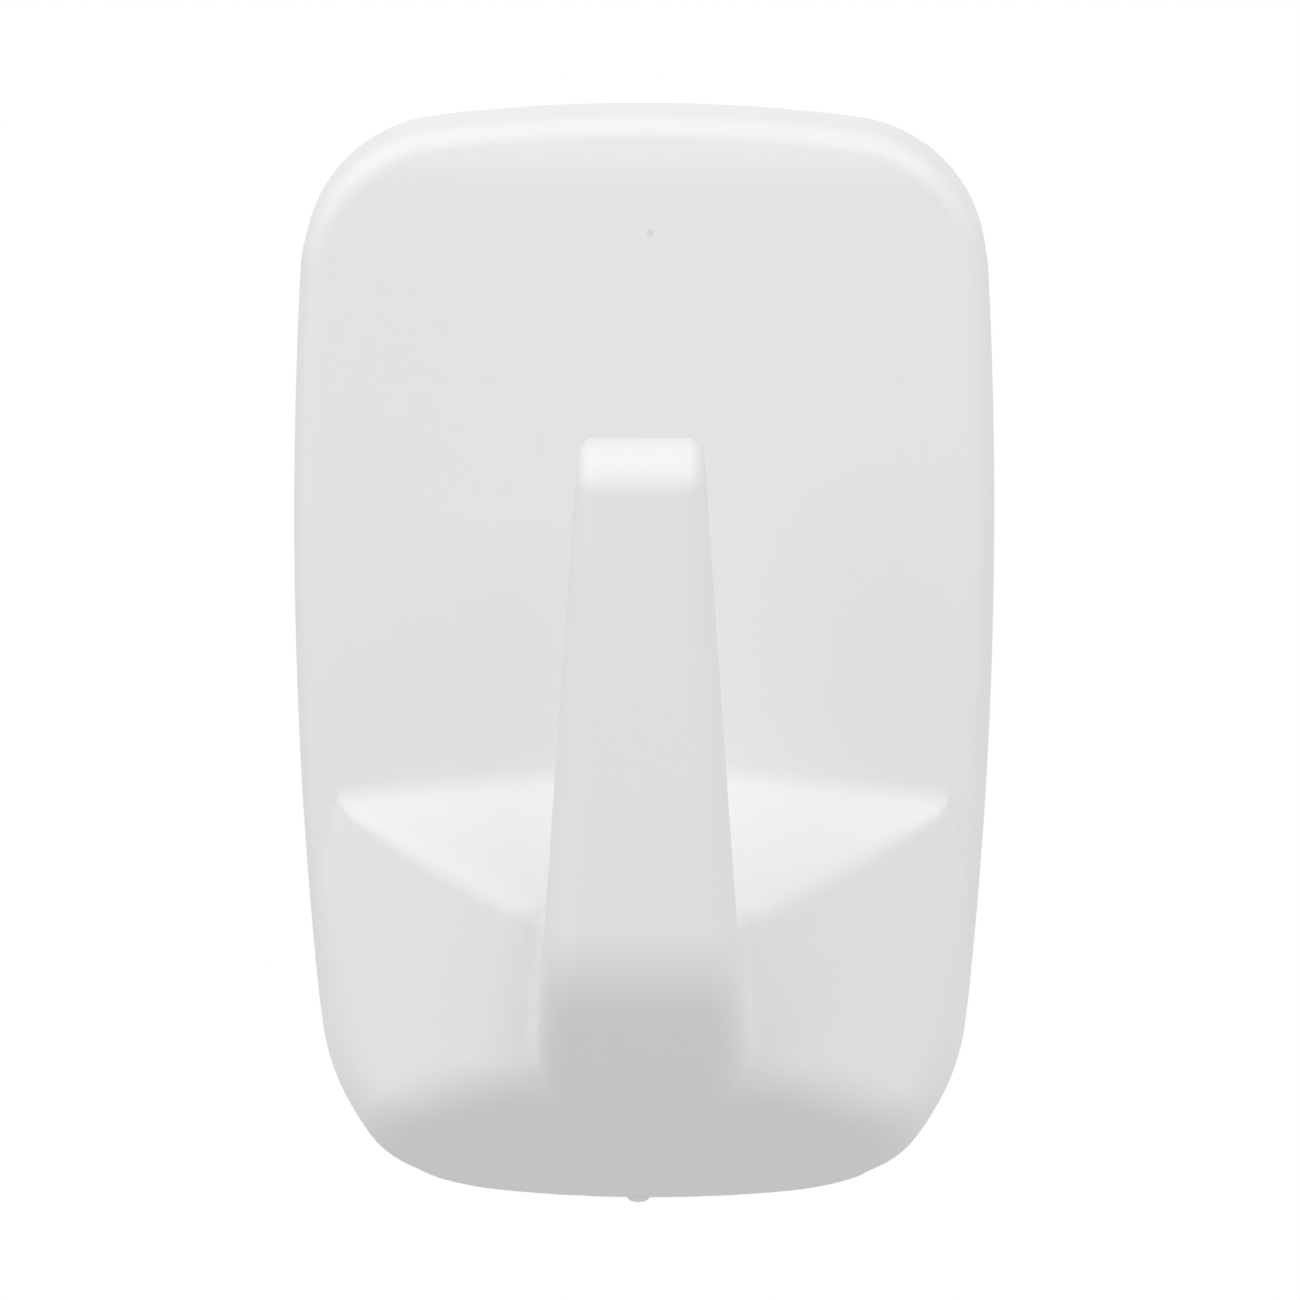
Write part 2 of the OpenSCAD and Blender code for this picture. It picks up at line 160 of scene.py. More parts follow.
def half_space(p: np.ndarray, out: tuple, spot: tuple, mirrored: bool = False) -> Field:
    """Everything behind a plane.

    Args:
        p: Places to look at.
        out: Outward direction of the plane.
        spot: A place on the plane.
        mirrored: Whether the plane is repeated on the left.

    Returns:
        The half space.
    """
    n = np.array(out, dtype=np.float64)
    n /= np.linalg.norm(n)
    sign = np.where(p[:, 0] < 0, -1.0, 1.0) if mirrored else np.ones(len(p))
    slope = np.empty((len(p), 3))
    slope[:, 0] = n[0] * sign
    slope[:, 1] = n[1]
    slope[:, 2] = n[2]
    value = p[:, 0] * slope[:, 0] + p[:, 1] * n[1] + p[:, 2] * n[2] - n @ np.array(spot)
    return Field(value, slope)


def block(p: np.ndarray, low: tuple, high: tuple, mirrored: bool = False) -> Field:
    """Box between two corners, given as x, depth and height.

    Args:
        p: Places to look at.
        low: Lowest corner.
        high: Highest corner.
        mirrored: Whether the box is repeated on the left.

    Returns:
        The box.
    """
    mid = (np.array(low) + np.array(high)) / 2
    half = (np.array(high) - np.array(low)) / 2
    q = p.copy()
    sign = np.where(p < 0, -1.0, 1.0)
    if mirrored:
        q[:, 0] = np.abs(q[:, 0])
    q = q - mid
    turn = np.where(q < 0, -1.0, 1.0)
    over = np.abs(q) - half
    beyond = np.maximum(over, 0)
    far = np.linalg.norm(beyond, axis=1)
    inside = over.max(axis=1)
    slope = np.zeros_like(q)
    slope[np.arange(len(q)), over.argmax(axis=1)] = 1.0
    out = far > 0
    slope[out] = beyond[out] / far[out, None]
    slope *= turn
    if mirrored:
        slope[:, 0] *= sign[:, 0]
    return Field(np.where(out, far, inside), slope)


@dataclass
class Skin:
    """Closed mesh of a shape that is given by its signed distances."""

    low: tuple
    high: tuple
    step: float
    rounds: int = 4
    last_rounds: int = 2
    pull: float = 0.6

    BATCH: ClassVar[int] = 200000

    def mesh(self, name: str, shape: Callable[[np.ndarray], Field]) -> bpy.types.Mesh:
        """Makes an even quad mesh on the shape's surface.

        Args:
            name: Name of the mesh.
            shape: Function that gives the field at rows of places.

        Returns:
            The mesh, in the part's frame.
        """
        axes = [np.arange(a, b + self.step, self.step) for a, b in zip(self.low, self.high)]
        size = tuple(len(a) for a in axes)
        grid = np.stack(np.meshgrid(*axes, indexing="ij"), axis=-1).reshape(-1, 3)
        value = np.empty(len(grid))
        for start in range(0, len(grid), self.BATCH):
            part = slice(start, start + self.BATCH)
            value[part] = shape(grid[part]).value
        points, quads = self._net(value.reshape(size))
        points = points * self.step + np.array(self.low)
        points = self._settle(points, quads, shape)
        mesh = bpy.data.meshes.new(name)
        mesh.from_pydata(place(points).tolist(), [], quads[:, ::-1].tolist())
        mesh.validate()
        mesh.shade_smooth()
        mesh.normals_split_custom_set_from_vertices(shape(points).slope * (1, -1, 1))
        return mesh

    @staticmethod
    def _net(value: np.ndarray) -> tuple[np.ndarray, np.ndarray]:
        """Puts one vertex in each cell that the surface crosses.

        Args:
            value: Distances on the grid.

        Returns:
            The vertices in grid steps, and the quads between them.
        """
        inside = value < 0
        cells = tuple(n - 1 for n in value.shape)
        total = np.zeros(cells + (3,))
        count = np.zeros(cells)
        for axis in range(3):
            near = [slice(None)] * 3
            far = [slice(None)] * 3
            near[axis] = slice(0, -1)
            far[axis] = slice(1, None)
            v0, v1 = value[tuple(near)], value[tuple(far)]
            cross = inside[tuple(near)] != inside[tuple(far)]
            share = np.where(cross, v0 / np.where(cross, v0 - v1, 1.0), 0.0)
            others = [a for a in range(3) if a != axis]
            for i in (0, 1):
                for j in (0, 1):
                    part = [slice(None)] * 3
                    part[others[0]] = slice(i, i + cells[others[0]])
                    part[others[1]] = slice(j, j + cells[others[1]])
                    hit = cross[tuple(part)]
                    count += hit
                    total[..., axis] += np.where(hit, share[tuple(part)], 0.0)
                    total[..., others[0]] += hit * i
                    total[..., others[1]] += hit * j
        used = count > 0
        index = np.full(cells, -1, dtype=np.int64)
        index[used] = np.arange(used.sum())
        corner = np.argwhere(used)
        points = corner + total[used] / count[used][:, None]
        quads = []
        for axis in range(3):
            u, w = [(1, 2), (2, 0), (0, 1)][axis]
            near = [slice(1, -1)] * 3
            far = [slice(1, -1)] * 3
            near[axis] = slice(0, -1)
            far[axis] = slice(1, None)
            here, there = inside[tuple(near)], inside[tuple(far)]
            for leaving in (True, False):
                edges = np.argwhere((here == leaving) & (there != leaving))
                if not len(edges):
                    continue
                base = edges + 1
                base[:, axis] -= 1
                ring = []
                for du, dw in ((-1, -1), (0, -1), (0, 0), (-1, 0)):
                    spot = base.copy()
                    spot[:, u] += du
                    spot[:, w] += dw
                    ring.append(index[spot[:, 0], spot[:, 1], spot[:, 2]])
                quad = np.stack(ring, axis=1)
                quads.append(quad if leaving else quad[:, ::-1])
        return points, np.concatenate(quads)

    def _settle(
        self, points: np.ndarray, quads: np.ndarray, shape: Callable[[np.ndarray], Field]
    ) -> np.ndarray:
        """Evens the vertices out along the surface and sets them exactly on it.

        Args:
            points: Vertices near the surface.
            quads: Faces between them.
            shape: Function that gives the field.

        Returns:
            The vertices on the surface.
        """
        ends = np.concatenate([quads[:, [i, (i + 1) % 4]] for i in range(4)])
        ends = np.concatenate([ends, ends[:, ::-1]])
        degree = np.bincount(ends[:, 0], minlength=len(points))[:, None]
        for turn in range(self.rounds + self.last_rounds):
            if turn < self.rounds:
                mean = np.stack(
                    [
                        np.bincount(ends[:, 0], points[ends[:, 1], k], minlength=len(points))
                        for k in range(3)
                    ],
                    axis=1,
                )
                points = points + self.pull * (mean / degree - points)
            at = shape(points)
            move = np.clip(at.value, -self.step, self.step)
            points = points - move[:, None] * at.slope
        return points


@dataclass
class HookShell:
    """The hook: a bowed cover, a prow with a sloping ledge, and a finger.

    Slopes are in degrees. Where a radius changes along its edge, the radii are a
    tuple, and the heights or depths where they hold are another.
    """

    # Cover
    cover_w: float = 46.78
    cover_h: float = 76.0
    widest_h: float = 46.0
    face_depth: float = 8.5
    rim_depth: float = 1.4
    foot_depth: float = FOOT_DEPTH
    wall_t: float = 2.0
    side_bow_r: float = 330.0
    top_bow_r: float = 112.0
    foot_bow_r: float = 56.0
    top_corner_r: float = 10.0
    foot_corner_r: float = 14.5
    edge_radii: tuple = (3.5, 1.4, 1.4, 1.6)
    edge_heights: tuple = (4.0, 16.0, 64.0, 74.0)
    foot_edge_r: float = 1.2
    brow_h: float = 3.5
    brow_lean: float = 10.0
    brow_r: float = 12.0

    # Ledge and prow
    ledge_h: float = 31.5
    ledge_fall: float = 30.0
    ledge_side: float = 6.0
    ridge_r: float = 20.0
    throat_r: float = 2.4
    prow_depth: float = 18.3
    prow_w: float = 16.0
    wing_inset: float = 2.6
    wing_r: float = 0.4
    nose_r: float = 2.4
    nose_reach: float = 5.0
    corner_lean: float = 11.0
    corner_radii: tuple = (11.0, 3.5)
    corner_foot_h: float = 10.0
    side_radii: tuple = (9.0, 1.5)
    side_foot_h: float = 8.0

    # Underside
    underside: float = UNDERSIDE
    under_l: float = 27.5
    under_bow_r: float = 180.0
    chine_radii: tuple = (3.2, 4.5)
    chine_depths: tuple = (9.0, 15.0)

    # Finger
    tip_h: float = 58.6
    tip_w: float = 8.0
    tip_front_r: float = 2.8
    tip_back_r: float = 1.46
    finger_taper: float = 4.0
    finger_depth: float = 28.8
    finger_lean: float = 3.5
    finger_t: float = 5.2
    flank_x: float = 5.69
    flank_radii: tuple = (2.3, 1.5, 1.0)
    flank_heights: tuple = (30.0, 56.0)
    bend_r: float = 11.0
    root_r: float = 4.0
    keel_h: float = 6.0
    fillet_radii: tuple = (0.02, 0.3, 1.2, 1.2, 0.6)
    fillet_heights: tuple = (6.0, 9.0, 13.0, 21.0, 26.0)
    seam_r: float = 0.05

    # Hollow and ribs
    inner_r: float = 0.5
    rib_r: float = 0.3
    rib_t: float = 1.6
    stop_pitch: float = 6.0
    seat_gap: float = 0.1
    lip_rear: float = LIP_REAR
    snap_w: float = 5.2
    snap_h: float = 1.2
    snap_depth: float = 5.6
    snap_foot_h: float = 42.4

    # Room that the skin is looked for in, and its mesh size
    room_low: tuple = (-24.6, 0.6, -1.2)
    room_high: tuple = (24.6, 31.2, 77.2)
    step: float = 0.45

    def outline(self, p: np.ndarray) -> Field:
        """Bowed outline of the cover with round corners.

        Args:
            p: Places to look at.

        Returns:
            The outline, drawn through all depths.
        """
        q = np.stack([np.abs(p[:, 0]), p[:, 2]], axis=1)
        side_c = np.array([self.cover_w / 2 - self.side_bow_r, self.widest_h])
        top_c = np.array([0.0, self.cover_h - self.top_bow_r])
        foot_c = np.array([0.0, self.foot_bow_r])
        value = np.full(len(p), -np.inf)
        flat = np.zeros_like(q)
        for c, r in (
            (side_c, self.side_bow_r), (top_c, self.top_bow_r), (foot_c, self.foot_bow_r)
        ):
            far = np.linalg.norm(q - c, axis=1)
            more = far - r > value
            value[more] = (far - r)[more]
            flat[more] = ((q - c) / far[:, None])[more]
        for end_c, end_r, r, hand in (
            (top_c, self.top_bow_r, self.top_corner_r, 1.0),
            (foot_c, self.foot_bow_r, self.foot_corner_r, -1.0),
        ):
            c = self._circles_meet(side_c, self.side_bow_r - r, end_c, end_r - r, hand)
            rel, start, stop = q - c, c - side_c, c - end_c
            turn_a = (start[0] * rel[:, 1] - start[1] * rel[:, 0]) * hand
            turn_b = (rel[:, 0] * stop[1] - rel[:, 1] * stop[0]) * hand
            inside = (turn_a > 0) & (turn_b > 0)
            far = np.maximum(np.linalg.norm(rel, axis=1), TINY)
            value[inside] = (far - r)[inside]
            flat[inside] = (rel / far[:, None])[inside]
        flat[:, 0] *= np.where(p[:, 0] < 0, -1.0, 1.0)
        return Field(value, np.column_stack([flat[:, 0], np.zeros(len(p)), flat[:, 1]]))

    @staticmethod
    def _circles_meet(
        a: np.ndarray, ra: float, b: np.ndarray, rb: float, hand: float
    ) -> np.ndarray:
        """Finds the place that lies at given distances from two centres.

        Args:
            a: First centre.
            ra: Distance from it.
            b: Second centre.
            rb: Distance from that.
            hand: Side of the line between them, 1 or -1.

        Returns:
            The place.
        """
        gap = np.linalg.norm(b - a)
        u = (b - a) / gap
        along = (ra * ra - rb * rb + gap * gap) / (2 * gap)
        across = hand * math.sqrt(ra * ra - along * along)
        return a + along * u + across * np.array([-u[1], u[0]])

    def under(self, p: np.ndarray) -> Field:
        """Slanted underside, bulged a little between the foot and the bend.

        Args:
            p: Places to look at.

        Returns:
            Everything above the underside.
        """
        lean = math.radians(self.underside)
        along = np.array([math.cos(lean), math.sin(lean)])
        out = np.array([math.sin(lean), -math.cos(lean)])
        half = self.under_l / 2
        back = math.sqrt(self.under_bow_r**2 - half**2)
        rel = p[:, 1:] - (np.array([self.foot_depth, 0.0]) + half * along - back * out)
        far = np.linalg.norm(rel, axis=1)
        flat = rel / far[:, None]
        return Field(far - self.under_bow_r, np.column_stack([np.zeros(len(p)), flat]))

    def face(self, p: np.ndarray) -> Field:
        """Flat front face, which leans back in a soft brow along the top.

        Args:
            p: Places to look at.

        Returns:
            Everything behind the face.
        """
        lean = math.radians(self.brow_lean)
        flat = half_space(p, (0, 1, 0), (0, self.face_depth, 0))
        spot = (0, self.face_depth, self.cover_h - self.brow_h)
        brow = half_space(p, (0, math.cos(lean), math.sin(lean)), spot)
        return meet(flat, brow, self.brow_r)

    def ledge(self, p: np.ndarray) -> Field:
        """Ledge, which falls to the front and to both sides.

        Args:
            p: Places to look at.

        Returns:
            Everything below the ledge.
        """
        side = math.tan(math.radians(self.ledge_side))
        fall = math.tan(math.radians(self.ledge_fall))
        spot = (0, self.face_depth, self.ledge_h)
        right = half_space(p, (side, fall, 1), spot)
        left = half_space(p, (-side, fall, 1), spot)
        return meet(right, left, self.ridge_r)

    def throat(self, p: np.ndarray) -> Field:
        """Face and ledge, with the fillet between them."""
        return join(self.face(p), self.ledge(p), self.throat_r)

    def _on_ledge(self, x: float, depth: float) -> np.ndarray:
        """Finds a place on the right half of the ledge.

        Args:
            x: Distance from the middle.
            depth: Distance from the wall.

        Returns:
            The place, with its height.
        """
        fall = (depth - self.face_depth) * math.tan(math.radians(self.ledge_fall))
        drop = x * math.tan(math.radians(self.ledge_side))
        return np.array([x, depth, self.ledge_h - fall - drop])

    def cover(self, p: np.ndarray, inset: float) -> Field:
        """Cover, or the hollow inside it.

        Args:
            p: Places to look at.
            inset: Zero for the outside, or the wall thickness.

        Returns:
            The cover, without its rear.
        """
        edge = np.interp(p[:, 2], self.edge_heights, self.edge_radii)
        foot = self.foot_edge_r
        if inset:
            edge = foot = self.inner_r
        low = meet(self.outline(p).shift(inset), self.under(p).shift(inset), foot)
        return meet(low, self.face(p).shift(inset), edge)

    def prow(self, p: np.ndarray, inset: float) -> Field:
        """Prow under the ledge, or the hollow inside it.

        Args:
            p: Places to look at.
            inset: Zero for the outside, or the wall thickness.

        Returns:
            The prow, with cheeks that round off more towards the underside.
        """
        wing = self._on_ledge(self.cover_w / 2 - self.wing_inset, self.face_depth)
        nose = self._on_ledge(self.prow_w / 2, self.prow_depth)
        lean = (math.tan(math.radians(self.corner_lean)), 0.0, -1.0)
        cheek = half_space(p, tuple(np.cross(wing - nose, lean)), tuple(nose), mirrored=True)
        front = half_space(p, (0, 1, 0), (0, self.prow_depth, 0))
        corner = np.interp(p[:, 2], (self.corner_foot_h, nose[2]), self.corner_radii)
        side = np.interp(p[:, 2], (self.side_foot_h, wing[2]), self.side_radii)
        chine = np.interp(
            p[:, 1],
            (self.foot_depth, *self.chine_depths),
            (self.foot_edge_r, *self.chine_radii),
        )
        if inset:
            corner = np.maximum(corner - inset, self.inner_r)
            side = np.maximum(side - inset, self.inner_r)
            chine = np.maximum(chine - inset, self.inner_r)
        plan = meet(cheek.shift(inset), front.shift(inset), corner)
        hull = meet(plan, self.outline(p).shift(inset), side)
        hull = meet(hull, self.under(p).shift(inset), chine)
        if inset:
            return meet(hull, self.ledge(p).shift(inset), self.inner_r)
        near, reach = self.face_depth, self.face_depth + self.nose_reach
        nose_r = np.interp(p[:, 1], (near, reach), (self.wing_r, self.nose_r))
        top = half_space(p, (0, 0, 1), (0, 0, self.ledge_h + self.throat_r))
        return meet(meet(hull, self.throat(p), nose_r), top, 0.0)

    def finger(self, p: np.ndarray) -> Field:
        """Finger with its bend below, its rounded tip and the fillet behind it.

        Args:
            p: Places to look at.

        Returns:
            The finger, down to its keel.
        """
        lean = math.radians(self.finger_lean)
        out = (0, math.cos(lean), -math.sin(lean))
        front = half_space(p, out, (0, self.finger_depth, self.ledge_h))
        spot = (0, self.finger_depth - self.finger_t, self.ledge_h)
        rear = half_space(p, (0, -out[1], -out[2]), spot)
        fall = math.radians(self.ledge_fall)
        _, depth, height = self._on_ledge(self.flank_x, self.face_depth)
        shelf = half_space(p, (0, math.sin(fall), math.cos(fall)), (0, depth, height))
        tip = half_space(p, (0, 0, 1), (0, 0, self.tip_h))
        form = meet(front, self.under(p), self.bend_r)
        form = meet(form, tip, self.tip_front_r)
        form = meet(form, join(rear, shelf, self.root_r), self.tip_back_r)
        taper = math.radians(self.finger_taper)
        spot = (self.tip_w / 2, 0, self.tip_h)
        flank = half_space(p, (math.cos(taper), 0, math.sin(taper)), spot, mirrored=True)
        edge = np.interp(p[:, 2], (*self.flank_heights, self.tip_h), self.flank_radii)
        form = meet(form, flank, edge)
        return meet(form, half_space(p, (0, 0, -1), (0, 0, self.keel_h)), 0.0)

    def shape(self, p: np.ndarray) -> Field:
        """The whole moulding, hollow behind, with its ribs.

        Args:
            p: Rows of x, depth and height.

        Returns:
            The hook without its catches.
        """
        cover = self.cover(p, 0.0)
        prow = self.prow(p, 0.0)
        body = join(cover, prow, self.seam_r)
        fillet = np.interp(p[:, 2], self.fillet_heights, self.fillet_radii)
        body = join(body, self.finger(p), fillet)
        rim = half_space(p, (0, -1, 0), (0, self.rim_depth, 0))
        body = meet(body, rim, self.rib_r)
        hollow = join(self.cover(p, self.wall_t), self.prow(p, self.wall_t), self.inner_r)
        body = cut(body, hollow, self.rib_r)
        return self._ribs(p, body, cover, prow)

    def _ribs(self, p: np.ndarray, body: Field, cover: Field, prow: Field) -> Field:
        """Adds the stop ribs, the gussets and the snap rib inside.

        Args:
            p: Places to look at.
            body: The hollow moulding.
            cover: Outside of the cover.
            prow: Outside of the prow.

        Returns:
            The moulding with its ribs.
        """
        half = self.rib_t / 2
        inside = self.wall_t / 2
        foot = PLATE_TOP + self.seat_gap
        for x in (0.0, self.stop_pitch):
            low = (x - half, self.lip_rear, foot)
            rib = block(p, low, (x + half, self.face_depth, self.cover_h), mirrored=x > 0)
            body = join(body, meet(rib, cover.shift(inside), 0.0), self.rib_r)
        inner = self.face_depth - self.wall_t
        low = (self.flank_x - self.rib_t, inner, 0.0)
        gusset = block(p, low, (self.flank_x, self.prow_depth, self.ledge_h), mirrored=True)
        body = join(body, meet(gusset, prow.shift(inside), 0.0), self.rib_r)
        snap = block(
            p,
            (-self.snap_w / 2, self.snap_depth, self.snap_foot_h),
            (self.snap_w / 2, self.face_depth - inside, self.snap_foot_h + self.snap_h),
        )
        return join(body, snap, self.rib_r)

    def build(self) -> bpy.types.Object:
        """Returns the skinned hook as an object at the origin."""
        skin = Skin(self.room_low, self.room_high, self.step)
        return add_object("hook_shell", skin.mesh("hook_shell", self.shape))


def add_object(name: str, data: bpy.types.ID) -> bpy.types.Object:
    """Makes an object and links it to the scene.

    Args:
        name: Name of the object.
        data: Its mesh, lamp or camera.

    Returns:
        The object.
    """
    obj = bpy.data.objects.new(name, data)
    bpy.context.scene.collection.objects.link(obj)
    return obj


def loft(rings: list[np.ndarray]) -> bmesh.types.BMesh:
    """Joins equal rings into one closed form with flat ends.

    Args:
        rings: Rings in order, each with rows of x, y and z in metres.

    Returns:
        The form, with smooth sides.
    """
    bm = bmesh.new()
    loops = [[bm.verts.new(row) for row in ring.tolist()] for ring in rings]
    count = len(loops[0])
    for low, high in zip(loops, loops[1:]):
        for i in range(count):
            j = (i + 1) % count
            bm.faces.new((low[i], low[j], high[j], high[i])).smooth = True
    for end in (loops[0], loops[-1]):
        bm.faces.new(end)
    bmesh.ops.recalc_face_normals(bm, faces=bm.faces)
    return bm


def closed_mesh(name: str, bm: bmesh.types.BMesh) -> bpy.types.Mesh:
    """Writes a form to a new mesh and frees it.

    Args:
        name: Name of the mesh.
        bm: The closed form.

    Returns:
        The mesh, with its faces turned outwards.
    """
    bmesh.ops.recalc_face_normals(bm, faces=bm.faces)
    mesh = bpy.data.meshes.new(name)
    bm.to_mesh(mesh)
    bm.free()
    return mesh


def prism(
    name: str, ring: list[tuple], half: float, axis: int, edge: float, steps: int = 3
) -> bpy.types.Mesh:
    """Draws an outline out along one axis and softens its edges.

    Args:
        name: Name of the mesh.
        ring: Outline, as pairs of the two other coordinates in millimetres.
        half: Half the length along the axis.
        axis: Axis that the outline is drawn along.
        edge: Width of the softened edges.
        steps: Steps over each softened edge.

    Returns:
        The closed mesh in metres.
    """
    bm = loft([np.insert(np.array(ring), axis, along, axis=1) * MM for along in (-half, half)])
    bmesh.ops.bevel(
        bm, geom=list(bm.edges), offset=edge * MM, segments=steps, profile=0.5, affect="EDGES"
    )
    for face in bm.faces:
        face.smooth = True
    return closed_mesh(name, bm)


@dataclass
class FittingGrid:
    """Two rows of two equal fittings, placed by one node tree."""

    across: float
    up: float
    depth: float
    level: float
    turned: bool

    TREE: ClassVar[str] = "fitting_grid"
    PITCH_ACROSS: ClassVar[str] = "Pitch across"
    PITCH_UP: ClassVar[str] = "Pitch up"
    CENTRE: ClassVar[str] = "Centre"
    LEFT_TURN: ClassVar[str] = "Turn of the left ones"
    FINISH: ClassVar[str] = "Finish"

    @classmethod
    def tree(cls) -> bpy.types.NodeTree:
        """Makes the node tree that repeats a fitting, or finds it.

        Returns:
            The node tree.
        """
        found = bpy.data.node_groups.get(cls.TREE)
        if found:
            return found
        tree = bpy.data.node_groups.new(cls.TREE, "GeometryNodeTree")
        face = tree.interface
        for name, kind in (
            ("Geometry", "NodeSocketGeometry"),
            (cls.PITCH_ACROSS, "NodeSocketFloat"),
            (cls.PITCH_UP, "NodeSocketFloat"),
            (cls.CENTRE, "NodeSocketVector"),
            (cls.LEFT_TURN, "NodeSocketFloat"),
            (cls.FINISH, "NodeSocketMaterial"),
        ):
            face.new_socket(name, in_out="INPUT", socket_type=kind)
        face.new_socket("Geometry", in_out="OUTPUT", socket_type="NodeSocketGeometry")
        node, link = tree.nodes.new, tree.links.new
        given, made = node("NodeGroupInput"), node("NodeGroupOutput")
        grid = node("GeometryNodeMeshGrid")
        grid.inputs["Vertices X"].default_value = 2
        grid.inputs["Vertices Y"].default_value = 2
        link(given.outputs[cls.PITCH_ACROSS], grid.inputs["Size X"])
        link(given.outputs[cls.PITCH_UP], grid.inputs["Size Y"])
        stand = node("GeometryNodeTransform")
        stand.inputs["Rotation"].default_value = (math.pi / 2, 0.0, 0.0)
        link(grid.outputs["Mesh"], stand.inputs["Geometry"])
        spot, split = node("GeometryNodeInputPosition"), node("ShaderNodeSeparateXYZ")
        link(spot.outputs["Position"], split.inputs["Vector"])
        left, turn = node("ShaderNodeMath"), node("ShaderNodeMath")
        left.operation, turn.operation = "LESS_THAN", "MULTIPLY"
        left.inputs[1].default_value = 0.0
        link(split.outputs["X"], left.inputs[0])
        link(left.outputs["Value"], turn.inputs[0])
        link(given.outputs[cls.LEFT_TURN], turn.inputs[1])
        spin = node("ShaderNodeCombineXYZ")
        link(turn.outputs["Value"], spin.inputs["Y"])
        copies = node("GeometryNodeInstanceOnPoints")
        link(stand.outputs["Geometry"], copies.inputs["Points"])
        link(given.outputs["Geometry"], copies.inputs["Instance"])
        link(spin.outputs["Vector"], copies.inputs["Rotation"])
        move = node("GeometryNodeTransform")
        link(copies.outputs["Instances"], move.inputs["Geometry"])
        link(given.outputs[cls.CENTRE], move.inputs["Translation"])
        real = node("GeometryNodeRealizeInstances")
        link(move.outputs["Geometry"], real.inputs["Geometry"])
        dress = node("GeometryNodeSetMaterial")
        link(real.outputs["Geometry"], dress.inputs["Geometry"])
        link(given.outputs[cls.FINISH], dress.inputs["Material"])
        link(dress.outputs["Geometry"], made.inputs["Geometry"])
        return tree

    def build(
        self, name: str, one: bpy.types.Mesh, finish: bpy.types.Material
    ) -> bpy.types.Object:
        """Repeats one fitting over the grid and makes the result a plain mesh.

        Args:
            name: Name of the new piece.
            one: Mesh of one fitting, round the middle of its own place.
            finish: Material of the fittings.

        Returns:
            The piece with all four fittings.
        """
        obj = add_object(name, one)
        tree = self.tree()
        mod = obj.modifiers.new(self.TREE, "NODES")
        mod.node_group = tree
        values = {
            self.PITCH_ACROSS: self.across * MM,
            self.PITCH_UP: self.up * MM,
            self.CENTRE: (0.0, -self.depth * MM, (self.level - ORIGIN_HEIGHT) * MM),
            self.LEFT_TURN: math.pi if self.turned else 0.0,
            self.FINISH: finish,
        }
        for item in tree.interface.items_tree:
            if item.in_out == "INPUT" and item.name in values:
                mod[item.identifier] = values[item.name]
        seen = obj.evaluated_get(bpy.context.evaluated_depsgraph_get())
        mesh = bpy.data.meshes.new_from_object(seen)
        obj.modifiers.remove(mod)
        obj.data = mesh
        mesh.name = name
        return obj


@dataclass
class GateMark:
    """Small nub under the hook, where the moulding was cut from its runner."""

    x: float = -0.4
    depth: float = 2.25
    radius: float = 0.816
    drop: float = 0.42
    rise: float = 0.5
    steps: int = 48
    rows: int = 8

    def build(self, finish: bpy.types.Material) -> bpy.types.Object:
        """Makes the domed nub, with its upper end inside the wall.

        Args:
            finish: Material of the nub.

        Returns:
            The piece.
        """
        around = np.arange(self.steps) * 2 * math.pi / self.steps
        rows = [(self.radius, self.rise)]
        for i in range(self.rows):
            a = math.pi / 2 * i / self.rows
            rows.append((self.radius * math.sqrt(math.cos(a)), -self.drop * math.sin(a)))
        rings = []
        for r, height in rows:
            spots = (self.x + r * np.cos(around), self.depth + r * np.sin(around))
            rings.append(place(np.column_stack([*spots, np.full(self.steps, height)])))
        piece = add_object("gate_mark", closed_mesh("gate_mark", loft(rings)))
        piece.data.materials.append(finish)
        return piece


@dataclass
class SlidingHook:
    """The hook with its catches and its gate mark."""

    shell: HookShell = field(default_factory=HookShell)
    gate: GateMark = field(default_factory=GateMark)
    catch_h: float = LUG_H
    lip_x: float = 9.5
    leg_x: float = 12.2
    leg_out_x: float = 14.0
    lip_rear: float = LIP_REAR
    lip_front: float = 3.9
    leg_front: float = 7.0
    levels: tuple = LUG_LEVELS
    edge: float = 0.25

    def catches(self, finish: bpy.types.Material) -> bpy.types.Object:
        """Makes the four catches behind the lugs, each a leg and a lip.

        Args:
            finish: Material of the catches.

        Returns:
            The piece.
        """
        x0 = (self.lip_x + self.leg_out_x) / 2
        d0 = (self.lip_rear + self.leg_front) / 2
        corners = (
            (self.leg_x, self.leg_front), (self.leg_out_x, self.leg_front),
            (self.leg_out_x, self.lip_rear), (self.lip_x, self.lip_rear),
            (self.lip_x, self.lip_front), (self.leg_x, self.lip_front),
        )
        half = self.catch_h / 2
        one = prism("catch", [(x - x0, d0 - d) for x, d in corners], half, 2, self.edge)
        low, high = self.levels
        grid = FittingGrid(2 * x0, high - low, d0, (low + high) / 2 + half, turned=True)
        return grid.build("hook_catches", one, finish)

    def build(self, finish: bpy.types.Material) -> None:
        """Makes the pieces of the hook and ties them to the sliding body.

        Args:
            finish: Material of the hook.
        """
        body = self.shell.build()
        body.data.materials.append(finish)
        for piece in (body, self.catches(finish), self.gate.build(finish)):
            tie(piece, Body.HOOK, "hook")


